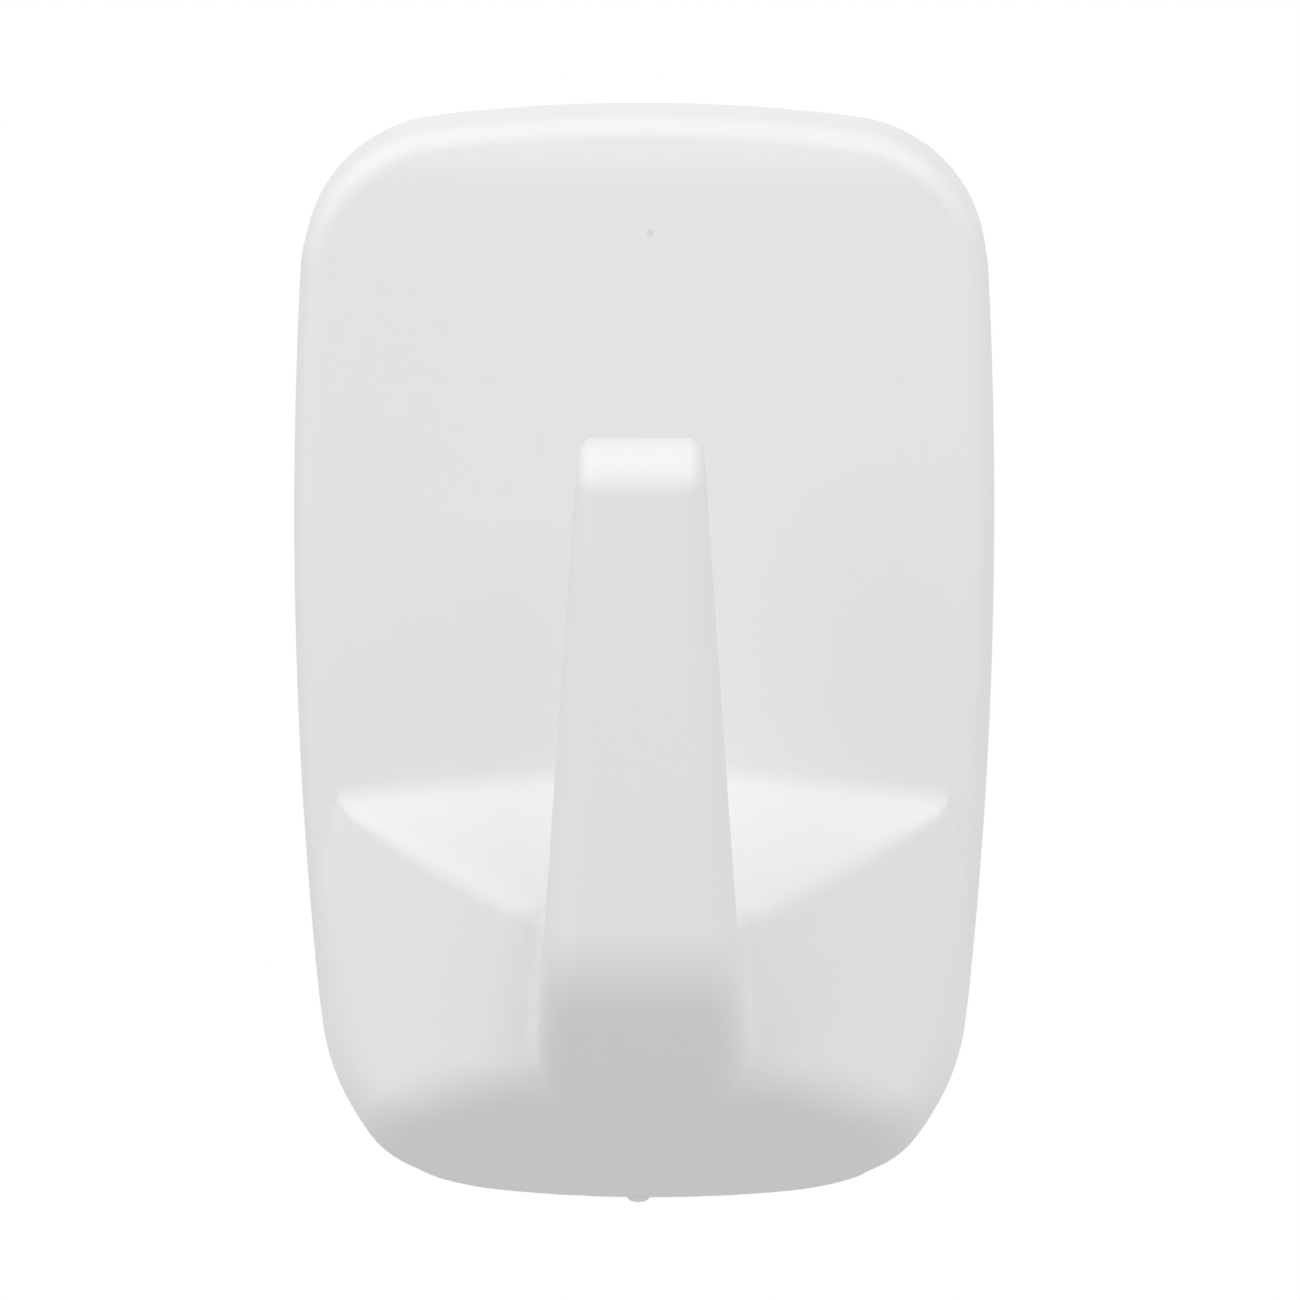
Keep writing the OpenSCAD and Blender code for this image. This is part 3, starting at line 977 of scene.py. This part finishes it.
@dataclass
class PlateBody:
    """The plate behind the hook: a walled pocket with ribs and a snap tongue."""

    plate_w: float = 18.6
    foot_h: float = PLATE_FOOT
    top_h: float = PLATE_TOP
    rear: float = 1.2
    front: float = 6.3
    corner_r: float = 2.0
    lead: float = 2.0
    foot_rise: float = 14.13
    pocket_half: float = 7.3
    pocket_floor: float = 3.0
    pocket_r: float = 0.5
    pocket_bays: tuple = ((18.86, 37.45), (39.05, 61.2), (62.8, 67.5))
    tongue_half: float = 3.0
    tongue_foot_h: float = 43.6
    tongue_root_h: float = 55.6
    tongue_slot: float = 0.8
    tongue_rear: float = 1.8
    bump_front: float = 5.5
    bump_h: float = 2.4
    bump_flat_h: float = 0.8
    edge_r: float = 0.35
    slot_r: float = 0.15
    overrun: float = 1.0
    room_low: tuple = (-10.1, 0.4, 13.7)
    room_high: tuple = (10.1, 7.1, 72.3)
    step: float = 0.36

    def bar(self, p: np.ndarray) -> Field:
        """Plate with round corners, a lead at its top and a slanted foot.

        Args:
            p: Places to look at.

        Returns:
            The plate without its pocket.
        """
        mid = (self.top_h + self.foot_h) / 2
        half = np.array([self.plate_w / 2, (self.top_h - self.foot_h) / 2])
        over = np.abs(p[:, [0, 2]] - (0, mid)) - (half - self.corner_r)
        beyond = np.maximum(over, 0)
        far = np.linalg.norm(beyond, axis=1)
        slope = np.zeros((len(p), 3))
        slope[np.arange(len(p)), np.where(over[:, 0] > over[:, 1], 0, 2)] = 1.0
        out = far > 0
        slope[out, 0] = beyond[out, 0] / far[out]
        slope[out, 2] = beyond[out, 1] / far[out]
        slope[:, 0] *= np.where(p[:, 0] < 0, -1.0, 1.0)
        slope[:, 2] *= np.where(p[:, 2] < mid, -1.0, 1.0)
        form = Field(np.where(out, far, over.max(axis=1)) - self.corner_r, slope)
        lean = math.radians(UNDERSIDE)
        for direction, spot in (
            ((0, 1, 1), (0, self.front, self.top_h - self.lead)),
            ((0, math.sin(lean), -math.cos(lean)), (0, FOOT_DEPTH, self.foot_rise)),
            ((0, 1, 0), (0, self.front, 0)),
            ((0, -1, 0), (0, self.rear, 0)),
        ):
            form = meet(form, half_space(p, direction, spot), self.edge_r)
        return form

    def shape(self, p: np.ndarray) -> Field:
        """The plate with its pocket bays and its tongue, without the lugs.

        Args:
            p: Rows of x, depth and height.

        Returns:
            The plate.
        """
        form = self.bar(p)
        r = self.pocket_r
        for low, high in self.pocket_bays:
            bay = block(
                p,
                (r - self.pocket_half, r + self.pocket_floor, low + r),
                (self.pocket_half - r, self.front + self.overrun, high - r),
            )
            form = cut(form, bay.shift(-r), self.edge_r)
        reach = self.tongue_half + self.tongue_slot
        low_h = self.tongue_foot_h - self.tongue_slot
        behind, before = self.rear - self.overrun, self.pocket_floor + self.overrun
        for low, high, both in (
            ((self.tongue_half, behind, low_h), (reach, before, self.tongue_root_h), True),
            ((-reach, behind, low_h), (reach, before, self.tongue_foot_h), False),
            ((-reach, behind, low_h), (reach, self.tongue_rear, self.tongue_root_h), False),
        ):
            form = cut(form, block(p, low, high, both), self.slot_r)
        return join(form, self._bump(p), self.edge_r)

    def _bump(self, p: np.ndarray) -> Field:
        """Bump on the tongue, with a ramp above and below.

        Args:
            p: Places to look at.

        Returns:
            The bump.
        """
        ramp_h = (self.bump_h - self.bump_flat_h) / 2
        rise = self.bump_front - self.pocket_floor
        mid = self.tongue_foot_h + self.bump_h / 2
        form = block(
            p,
            (-self.tongue_half, self.pocket_floor - self.edge_r, self.tongue_foot_h),
            (self.tongue_half, self.bump_front, self.tongue_foot_h + self.bump_h),
        )
        for hand in (-1.0, 1.0):
            spot = (0, self.bump_front, mid + hand * self.bump_flat_h / 2)
            form = meet(form, half_space(p, (0, ramp_h, hand * rise), spot), self.edge_r)
        return form

    def build(self) -> bpy.types.Object:
        """Returns the skinned plate as an object at the origin."""
        skin = Skin(self.room_low, self.room_high, self.step)
        return add_object("base_plate_body", skin.mesh("base_plate_body", self.shape))


@dataclass
class StripLayer:
    """One layer of the mounting strip, with round corners and soft edges."""

    name: str
    node: str
    slot: Slot
    rear: float
    front: float
    foot: float
    top: float
    foot_r: float
    top_r: float
    half_w: float
    bulge: float = 0.0
    ripple: float = 0.0
    corner_steps: int = 12
    side_pitch: float = 1.2
    edge_steps: int = 6
    waves: tuple = ((1.0, 0.83, 0.0), (0.6, 0.31, 1.1))

    def outline(self) -> tuple[np.ndarray, np.ndarray]:
        """Walks round the layer.

        Returns:
            The outline and the outward directions along it.
        """
        spots, outs = [], []
        for sx, sv, start in ((1, 1, 0), (-1, 1, 90), (-1, -1, 180), (1, -1, 270)):
            r = self.top_r if sv > 0 else self.foot_r
            level = self.top if sv > 0 else self.foot
            centre = np.array([sx * (self.half_w - r), level - sv * r])
            for i in range(self.corner_steps + 1):
                a = math.radians(start + 90 * i / self.corner_steps)
                out = np.array([math.cos(a), math.sin(a)])
                spots.append(centre + r * out)
                outs.append(out)
        even, even_out = [], []
        for i, spot in enumerate(spots):
            after = spots[(i + 1) % len(spots)]
            count = max(1, round(float(np.linalg.norm(after - spot)) / self.side_pitch))
            even += [spot + (after - spot) * k / count for k in range(count)]
            even_out += [outs[i]] * count
        return np.array(even), np.array(even_out)

    def build(self, finish: bpy.types.Material) -> bpy.types.Object:
        """Makes the layer, with soft edges that waver a little.

        Args:
            finish: Material of the layer.

        Returns:
            The closed piece.
        """
        spots, outs = self.outline()
        run = np.arange(len(spots))
        waver = self.ripple * sum(h * np.sin(run * pace + start) for h, pace, start in self.waves)
        rings = []
        for i in range(self.edge_steps + 1):
            share = i / self.edge_steps
            swell = math.sin(math.pi * share)
            edge = self.bulge * (swell - 1) + np.minimum(waver, 0) * swell
            ring = spots + outs * edge[:, None]
            depth = np.full(len(spots), self.rear + (self.front - self.rear) * share)
            rings.append(place(np.column_stack([ring[:, 0], depth, ring[:, 1]])))
        piece = add_object(self.name, closed_mesh(self.name, loft(rings)))
        piece.data.materials.append(finish)
        return piece


@dataclass(frozen=True)
class Strip:
    """Stretch-release strip: foam between two adhesives, with films on its pull tab."""

    width: float = 15.9
    tab_foot_h: float = 1.8
    core_t: float = 0.9
    adhesive_t: float = 0.15
    film_t: float = 0.1
    corner_r: float = 1.5
    tab_corner_r: float = 4.0
    adhesive_bulge: float = 0.05
    adhesive_ripple: float = 0.03
    foam_bulge: float = 0.12
    foam_ripple: float = 0.04

    def layers(self) -> tuple[StripLayer, ...]:
        """Sizes the layers, from the base plate to the wall.

        Returns:
            The layers.
        """
        rear, front = self.adhesive_t, self.adhesive_t + self.core_t
        plate = front + self.adhesive_t
        every = {"top_r": self.corner_r, "half_w": self.width / 2}
        bonded = every | {
            "foot": PLATE_FOOT, "top": PLATE_TOP, "foot_r": self.corner_r,
            "bulge": self.adhesive_bulge, "ripple": self.adhesive_ripple,
        }
        whole = every | {
            "foot": self.tab_foot_h, "top": PLATE_TOP, "foot_r": self.tab_corner_r,
            "bulge": self.foam_bulge, "ripple": self.foam_ripple,
        }
        tab = every | {
            "foot": self.tab_foot_h, "top": PLATE_FOOT - self.corner_r, "foot_r": self.tab_corner_r
        }
        film, glue = Slot.FILM, Slot.ADHESIVE
        return (
            StripLayer("strip_front_adhesive", "plate_adhesive", glue, front, plate, **bonded),
            StripLayer("strip_foam", "foam_core", Slot.FOAM, rear, front, **whole),
            StripLayer("strip_rear_adhesive", "wall_adhesive", glue, 0.0, rear, **bonded),
            StripLayer("tab_cover_front", "tab_film_front", film, front, front + self.film_t, **tab),
            StripLayer("tab_cover_rear", "tab_film_rear", film, rear - self.film_t, rear, **tab),
        )


@dataclass
class WallBase:
    """What stays on the wall: the base plate, its lugs and the strip."""

    plate: PlateBody = field(default_factory=PlateBody)
    strip: Strip = field(default_factory=Strip)
    lug_h: float = LUG_H
    lug_rear: float = 4.1
    lug_front: float = 6.3
    lug_lead: float = 1.0
    lug_x: float = 12.0
    lug_l: float = 3.2
    levels: tuple = LUG_LEVELS
    edge: float = 0.25
    foam_fill: float = 0.9

    def lugs(self, finish: bpy.types.Material) -> bpy.types.Object:
        """Makes the four lugs that the catches slide behind.

        Args:
            finish: Material of the lugs.

        Returns:
            The piece.
        """
        d0, v0 = (self.lug_rear + self.lug_front) / 2, self.lug_h / 2
        corners = (
            (self.lug_rear, 0.0), (self.lug_front, 0.0), (self.lug_front, self.lug_h),
            (self.lug_rear + self.lug_lead, self.lug_h), (self.lug_rear, self.lug_h - self.lug_lead),
        )
        half = self.lug_l / 2
        one = prism("lug", [(d0 - d, v - v0) for d, v in corners], half, 0, self.edge)
        low, high = self.levels
        across = 2 * (self.lug_x - half)
        grid = FittingGrid(across, high - low, d0, (low + high) / 2 + v0, turned=False)
        return grid.build("plate_lugs", one, finish)

    def build(self, finishes: dict[Slot, bpy.types.Material]) -> None:
        """Makes the pieces of the base and ties them to the wall body.

        Args:
            finishes: Material of each slot.
        """
        plastic = finishes[Slot.PLATE]
        body = self.plate.build()
        body.data.materials.append(plastic)
        for piece in (body, self.lugs(plastic)):
            tie(piece, Body.BASE, "base_plate")
        for layer in self.strip.layers():
            piece = layer.build(finishes[layer.slot])
            tie(piece, Body.BASE, layer.node)


def tie(piece: bpy.types.Object, body: Body, node: str) -> None:
    """Ties a piece to its body and node, and reports it.

    Args:
        piece: The finished piece.
        body: Body that it moves with.
        node: Node that it stands for.
    """
    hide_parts(node)
    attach(piece, body.value)
    LOG.info("%s: %d faces on %s", piece.name, len(piece.data.polygons), body.value)


class Nodes:
    """Short ways to add, set and link nodes in one tree."""

    def __init__(self, tree: bpy.types.NodeTree) -> None:
        """Keeps the tree that the nodes go into."""
        self.tree = tree

    def add(self, kind: str, **values: object) -> bpy.types.Node:
        """Adds a node and sets its inputs by name.

        Args:
            kind: Type name of the node.
            values: Inputs, with underscores in place of spaces.

        Returns:
            The new node.
        """
        made = self.tree.nodes.new(kind)
        for name, value in values.items():
            made.inputs[name.replace("_", " ")].default_value = value
        return made

    def math(self, operation: str, *parts: object) -> bpy.types.NodeSocket:
        """Adds a Math node.

        Args:
            operation: Name of the operation.
            parts: Numbers or sockets, in the order of its inputs.

        Returns:
            The socket with the result.
        """
        made = self.tree.nodes.new("ShaderNodeMath")
        made.operation = operation
        for socket, part in zip(made.inputs, parts):
            if isinstance(part, bpy.types.NodeSocket):
                self.tree.links.new(part, socket)
            else:
                socket.default_value = part
        return made.outputs["Value"]

    def link(self, start: bpy.types.NodeSocket, end: bpy.types.NodeSocket) -> None:
        """Links one socket to another."""
        self.tree.links.new(start, end)

    def blend(
        self, share: bpy.types.NodeSocket, first: object, second: object
    ) -> bpy.types.NodeSocket:
        """Adds a mix of two colours.

        Args:
            share: Share of the second colour.
            first: Colour or socket.
            second: Colour or socket.

        Returns:
            The mixed colour.
        """
        made = self.tree.nodes.new("ShaderNodeMix")
        made.data_type = "RGBA"
        self.link(share, made.inputs["Factor"])
        colours = [s for s in made.inputs if s.type == "RGBA"]
        for socket, part in zip(colours, (first, second)):
            if isinstance(part, bpy.types.NodeSocket):
                self.link(part, socket)
            else:
                socket.default_value = (*part, 1.0)
        return next(s for s in made.outputs if s.type == "RGBA")


class MouldGrain:
    """Shared effect: faint clouds of tone and a fine grain."""

    NAME = "mould_grain"
    INPUTS = (
        ("Vector", "NodeSocketVector"),
        ("Light tone", "NodeSocketColor"),
        ("Dark tone", "NodeSocketColor"),
        ("Cloud scale", "NodeSocketFloat"),
        ("Grain scale", "NodeSocketFloat"),
        ("Roughness low", "NodeSocketFloat"),
        ("Roughness high", "NodeSocketFloat"),
    )
    OUTPUTS = (
        ("Colour", "NodeSocketColor"),
        ("Roughness", "NodeSocketFloat"),
        ("Height", "NodeSocketFloat"),
    )

    @classmethod
    def group(cls) -> bpy.types.NodeTree:
        """Makes the node group, or finds it.

        Returns:
            The node group.
        """
        found = bpy.data.node_groups.get(cls.NAME)
        if found:
            return found
        tree = bpy.data.node_groups.new(cls.NAME, "ShaderNodeTree")
        for name, kind in cls.INPUTS:
            tree.interface.new_socket(name, in_out="INPUT", socket_type=kind)
        for name, kind in cls.OUTPUTS:
            tree.interface.new_socket(name, in_out="OUTPUT", socket_type=kind)
        nodes = Nodes(tree)
        given, made = nodes.add("NodeGroupInput"), nodes.add("NodeGroupOutput")
        cloud = nodes.add("ShaderNodeTexNoise", Detail=4.0)
        grain = nodes.add("ShaderNodeTexNoise", Detail=2.0)
        for texture, scale in ((cloud, "Cloud scale"), (grain, "Grain scale")):
            nodes.link(given.outputs["Vector"], texture.inputs["Vector"])
            nodes.link(given.outputs[scale], texture.inputs["Scale"])
        tone = nodes.blend(
            cloud.outputs["Fac"], given.outputs["Light tone"], given.outputs["Dark tone"]
        )
        nodes.link(tone, made.inputs["Colour"])
        rough = nodes.add("ShaderNodeMapRange")
        nodes.link(grain.outputs["Fac"], rough.inputs["Value"])
        nodes.link(given.outputs["Roughness low"], rough.inputs["To Min"])
        nodes.link(given.outputs["Roughness high"], rough.inputs["To Max"])
        nodes.link(rough.outputs["Result"], made.inputs["Roughness"])
        nodes.link(grain.outputs["Fac"], made.inputs["Height"])
        return tree


@dataclass(frozen=True)
class Surface:
    """What a finish adds to: the nodes, the object coordinates and the grain."""

    nodes: Nodes
    spot: bpy.types.NodeSocket
    colour: bpy.types.NodeSocket
    height: bpy.types.NodeSocket


@dataclass(frozen=True)
class Finish:
    """Material with the shared grain; other finishes add to it."""

    name: str
    light: tuple
    dark: tuple
    cloud_scale: float
    grain_scale: float
    rough: tuple
    bump: float
    bump_depth: float
    ior: float = 1.5

    def make(self) -> bpy.types.Material:
        """Makes the material with its nodes.

        Returns:
            The material.
        """
        mat = bpy.data.materials.new(self.name)
        mat.use_nodes = True
        nodes = Nodes(mat.node_tree)
        shader = mat.node_tree.nodes["Principled BSDF"]
        shader.inputs["IOR"].default_value = self.ior
        coords = nodes.add("ShaderNodeTexCoord")
        grain = nodes.add("ShaderNodeGroup")
        grain.node_tree = MouldGrain.group()
        nodes.link(coords.outputs["Object"], grain.inputs["Vector"])
        for name, value in (
            ("Light tone", (*self.light, 1.0)),
            ("Dark tone", (*self.dark, 1.0)),
            ("Cloud scale", self.cloud_scale),
            ("Grain scale", self.grain_scale),
            ("Roughness low", self.rough[0]),
            ("Roughness high", self.rough[1]),
        ):
            grain.inputs[name].default_value = value
        colour, height = self.detail(
            Surface(
                nodes, coords.outputs["Object"], grain.outputs["Colour"], grain.outputs["Height"]
            )
        )
        nodes.link(colour, shader.inputs["Base Color"])
        nodes.link(grain.outputs["Roughness"], shader.inputs["Roughness"])
        bump = nodes.add("ShaderNodeBump", Strength=self.bump, Distance=self.bump_depth)
        nodes.link(height, bump.inputs["Height"])
        nodes.link(bump.outputs["Normal"], shader.inputs["Normal"])
        return mat

    def detail(self, plain: Surface) -> tuple[bpy.types.NodeSocket, bpy.types.NodeSocket]:
        """Returns the colour and the height of the grain, with nothing added."""
        return plain.colour, plain.height


@dataclass(frozen=True)
class SpeckledPlastic(Finish):
    """Moulded plastic with one dark speck in it."""

    speck: tuple = (0.0, 0.0, 0.0)
    speck_r: float = 0.00032
    speck_core_share: float = 0.4
    speck_tone: tuple = (0.78, 0.78, 0.78)

    def detail(self, plain: Surface) -> tuple[bpy.types.NodeSocket, bpy.types.NodeSocket]:
        """Darkens the plastic round the speck.

        Args:
            plain: The surface with its grain.

        Returns:
            The colour and the height for the shader.
        """
        nodes = plain.nodes
        far = nodes.add("ShaderNodeVectorMath")
        far.operation = "DISTANCE"
        nodes.link(plain.spot, far.inputs[0])
        far.inputs[1].default_value = self.speck
        core_r = self.speck_core_share * self.speck_r
        share = nodes.add("ShaderNodeMapRange", From_Min=self.speck_r, From_Max=core_r)
        share.interpolation_type = "SMOOTHSTEP"
        nodes.link(far.outputs["Value"], share.inputs["Value"])
        colour = nodes.blend(share.outputs["Result"], plain.colour, self.speck_tone)
        return colour, plain.height


@dataclass(frozen=True)
class FoamFinish(Finish):
    """Closed-cell foam, with a pit in each cell, darkened inside by painted shade."""

    cell_scale: float = 3200.0
    pit_reach: float = 0.45
    pit_shade: float = 1.6
    pit_height: float = -3.0
    painted_pit_shade_tone: tuple = (0.60, 0.60, 0.58)

    def detail(self, plain: Surface) -> tuple[bpy.types.NodeSocket, bpy.types.NodeSocket]:
        """Adds pits to the grain, each darkened inside by painted shade.

        Args:
            plain: The surface with its grain.

        Returns:
            The colour and the height for the shader.
        """
        nodes = plain.nodes
        cells = nodes.add("ShaderNodeTexVoronoi", Scale=self.cell_scale)
        nodes.link(plain.spot, cells.inputs["Vector"])
        pit = nodes.math("SUBTRACT", self.pit_reach, cells.outputs["Distance"])
        pit = nodes.math("MAXIMUM", pit, 0.0)
        # Painted shade: the colour darkens towards the pit tone inside each pit, where the hollow
        # would be in shade.
        shade = nodes.math("MULTIPLY", pit, self.pit_shade)
        deep = nodes.math("MULTIPLY_ADD", pit, self.pit_height, plain.height)
        return nodes.blend(shade, plain.colour, self.painted_pit_shade_tone), deep


@dataclass(frozen=True)
class DrawnFilm(Finish):
    """Thin film with faint streaks from its drawing."""

    streak_scale: float = 900.0
    streak_detail: float = 3.0
    stretch: tuple = (1.0, 1.0, 0.03)
    streak: float = 0.35
    streak_height: float = 2.0

    def detail(self, plain: Surface) -> tuple[bpy.types.NodeSocket, bpy.types.NodeSocket]:
        """Adds upright streaks to the grain.

        Args:
            plain: The surface with its grain.

        Returns:
            The colour and the height for the shader.
        """
        nodes = plain.nodes
        stretch = nodes.add("ShaderNodeMapping", Scale=self.stretch)
        nodes.link(plain.spot, stretch.inputs["Vector"])
        streaks = nodes.add(
            "ShaderNodeTexNoise", Scale=self.streak_scale, Detail=self.streak_detail
        )
        nodes.link(stretch.outputs["Vector"], streaks.inputs["Vector"])
        share = nodes.math("MULTIPLY", streaks.outputs["Fac"], self.streak)
        tall = nodes.math("MULTIPLY_ADD", streaks.outputs["Fac"], self.streak_height, plain.height)
        return nodes.blend(share, plain.colour, self.dark), tall


def make_finishes() -> dict[Slot, bpy.types.Material]:
    """Makes the materials.

    Returns:
        The material of each slot.
    """
    finishes = {
        Slot.HOOK: SpeckledPlastic(
            "satin_white_plastic", light=(0.92, 0.92, 0.92), dark=(0.91, 0.91, 0.91),
            cloud_scale=55.0, grain_scale=2600.0, rough=(0.40, 0.48), bump=0.03,
            bump_depth=0.00002, speck=(0.0004, -0.0085, 0.0255),
        ),
        Slot.PLATE: Finish(
            "matte_white_plastic", light=(0.77, 0.77, 0.76), dark=(0.73, 0.73, 0.72),
            cloud_scale=80.0, grain_scale=2200.0, rough=(0.48, 0.62), bump=0.25,
            bump_depth=0.00004,
        ),
        Slot.ADHESIVE: Finish(
            "tacky_adhesive", light=(0.80, 0.78, 0.71), dark=(0.70, 0.68, 0.61),
            cloud_scale=420.0, grain_scale=1500.0, rough=(0.18, 0.42), bump=0.30,
            bump_depth=0.00005,
        ),
        Slot.FOAM: FoamFinish(
            "closed_cell_foam", light=(0.84, 0.84, 0.82), dark=(0.76, 0.76, 0.74),
            cloud_scale=150.0, grain_scale=2000.0, rough=(0.75, 0.95), bump=0.60,
            bump_depth=0.00012,
        ),
        Slot.FILM: DrawnFilm(
            "tab_film", light=(0.86, 0.86, 0.86), dark=(0.78, 0.78, 0.79),
            cloud_scale=200.0, grain_scale=2500.0, rough=(0.22, 0.38), bump=0.20,
            bump_depth=0.00003,
        ),
    }
    return {slot: finish.make() for slot, finish in finishes.items()}


def aim(
    obj: bpy.types.Object, target: tuple, azimuth: float, elevation: float, distance: float
) -> None:
    """Sets a lamp or a camera round a target and turns it to face that.

    Args:
        obj: The lamp or camera.
        target: Place that it faces.
        azimuth: Angle to the right, from straight in front of the hook.
        elevation: Angle above level.
        distance: Distance from the target.
    """
    a, e = math.radians(azimuth), math.radians(elevation)
    back = Vector((math.sin(a) * math.cos(e), -math.cos(a) * math.cos(e), math.sin(e)))
    obj.location = Vector(target) + back * distance
    obj.rotation_mode = "QUATERNION"
    obj.rotation_quaternion = (-back).to_track_quat("-Z", "Y")


@dataclass(frozen=True)
class Camera:
    """Camera at the photograph's viewing angle, for a square image."""

    elevation: float = 14.0
    azimuth: float = 0.6
    roll: float = -0.05
    distance: float = 0.560
    target: tuple = (0.0, -0.005, -0.005)
    pixels_per_mm: float = 14.85
    image: float = 1300.0
    centre: tuple = (644.3, 668.0)
    sensor: float = 36.0
    clip: tuple = (0.01, 100.0)

    def build(self) -> None:
        """Makes the camera and gives it to the scene."""
        data = bpy.data.cameras.new("view_camera")
        cam = add_object("view_camera", data)
        bpy.context.scene.camera = cam
        aim(cam, self.target, self.azimuth, self.elevation, self.distance)
        roll = Quaternion((0, 0, 1), math.radians(-self.roll))
        cam.rotation_quaternion = cam.rotation_quaternion @ roll
        data.sensor_width = self.sensor
        data.lens = self.sensor * self.pixels_per_mm * self.distance / MM / self.image
        data.shift_x = (self.image / 2 - self.centre[0]) / self.image
        data.shift_y = (self.centre[1] - self.image / 2) / self.image
        data.clip_start, data.clip_end = self.clip


@dataclass(frozen=True)
class Lamp:
    """Soft square lamp that faces the hook."""

    name: str
    azimuth: float
    elevation: float
    distance: float
    size: float
    watts: float

    def build(self, target: tuple) -> None:
        """Makes the lamp, turned to the target.

        Args:
            target: Place that it faces.
        """
        data = bpy.data.lights.new(self.name, "AREA")
        data.shape = "SQUARE"
        data.size = self.size
        data.energy = self.watts
        lamp = add_object(self.name, data)
        aim(lamp, target, self.azimuth, self.elevation, self.distance)


@dataclass(frozen=True)
class Studio:
    """Pale floor, soft dome and lamps."""

    dome: float = 0.561
    slope: tuple = (0.093, 0.0, 0.0)
    target: tuple = (0.0, -0.01, 0.0)
    floor_level: float = -0.25
    floor_r: float = 0.5
    floor_tone: tuple = (0.9, 0.9, 0.9)
    floor_cloud: tuple = (0.87, 0.87, 0.87)
    floor_cloud_scale: float = 6.0
    floor_rough: float = 0.9
    lamps: tuple = (
        Lamp("left_softbox", azimuth=-56.0, elevation=38.0, distance=0.8, size=0.8, watts=2.4),
        Lamp("right_softbox", azimuth=34.0, elevation=43.0, distance=0.8, size=0.5, watts=1.18),
        Lamp("top_softbox", azimuth=11.0, elevation=66.0, distance=0.6, size=0.8, watts=0.3),
    )

    def build(self) -> None:
        """Makes the floor, the dome and the lamps."""
        bpy.context.scene.view_settings.view_transform = "Standard"
        self._floor()
        self._dome()
        for lamp in self.lamps:
            lamp.build(self.target)

    def _floor(self) -> None:
        """Makes a round pale floor well below the hook, which neither lights nor shades it."""
        bm = bmesh.new()
        down = Matrix.Translation((0.0, 0.0, self.floor_level))
        bmesh.ops.create_circle(bm, cap_ends=True, segments=96, radius=self.floor_r, matrix=down)
        mesh = bpy.data.meshes.new("floor")
        bm.to_mesh(mesh)
        bm.free()
        mat = bpy.data.materials.new("pale_floor")
        mat.use_nodes = True
        nodes = Nodes(mat.node_tree)
        shader = mat.node_tree.nodes["Principled BSDF"]
        shader.inputs["Roughness"].default_value = self.floor_rough
        clouds = nodes.add("ShaderNodeTexNoise", Scale=self.floor_cloud_scale)
        tone = nodes.blend(clouds.outputs["Fac"], self.floor_tone, self.floor_cloud)
        nodes.link(tone, shader.inputs["Base Color"])
        mesh.materials.append(mat)
        floor = add_object("floor", mesh)
        floor.visible_diffuse = False
        floor.visible_shadow = False

    def _dome(self) -> None:
        """Makes a dome of light, stronger on the right, that is white where it is seen."""
        world = bpy.data.worlds.new("studio_dome")
        bpy.context.scene.world = world
        world.use_nodes = True
        world.node_tree.nodes.clear()
        nodes = Nodes(world.node_tree)
        rays = nodes.add("ShaderNodeLightPath").outputs
        seen = nodes.math("MAXIMUM", rays["Is Camera Ray"], rays["Is Glossy Ray"])
        seen = nodes.math("MAXIMUM", seen, rays["Is Transmission Ray"])
        lean = nodes.add("ShaderNodeVectorMath")
        lean.operation = "DOT_PRODUCT"
        nodes.link(nodes.add("ShaderNodeTexCoord").outputs["Generated"], lean.inputs[0])
        lean.inputs[1].default_value = self.slope
        light = nodes.math("ADD", lean.outputs["Value"], self.dome)
        missing = nodes.math("SUBTRACT", 1.0, light)
        strength = nodes.math("MULTIPLY_ADD", seen, missing, light)
        glow = nodes.add("ShaderNodeBackground", Color=(1.0, 1.0, 1.0, 1.0))
        nodes.link(strength, glow.inputs["Strength"])
        out = nodes.add("ShaderNodeOutputWorld")
        nodes.link(glow.outputs["Background"], out.inputs["Surface"])


def main() -> None:
    """Builds the studio and the pieces in order."""
    logging.basicConfig(level=logging.INFO, format="%(name)s: %(message)s")
    Camera().build()
    Studio().build()
    finishes = make_finishes()
    WallBase().build(finishes)
    SlidingHook().build(finishes[Slot.HOOK])


if __name__ == "__main__":
    main()
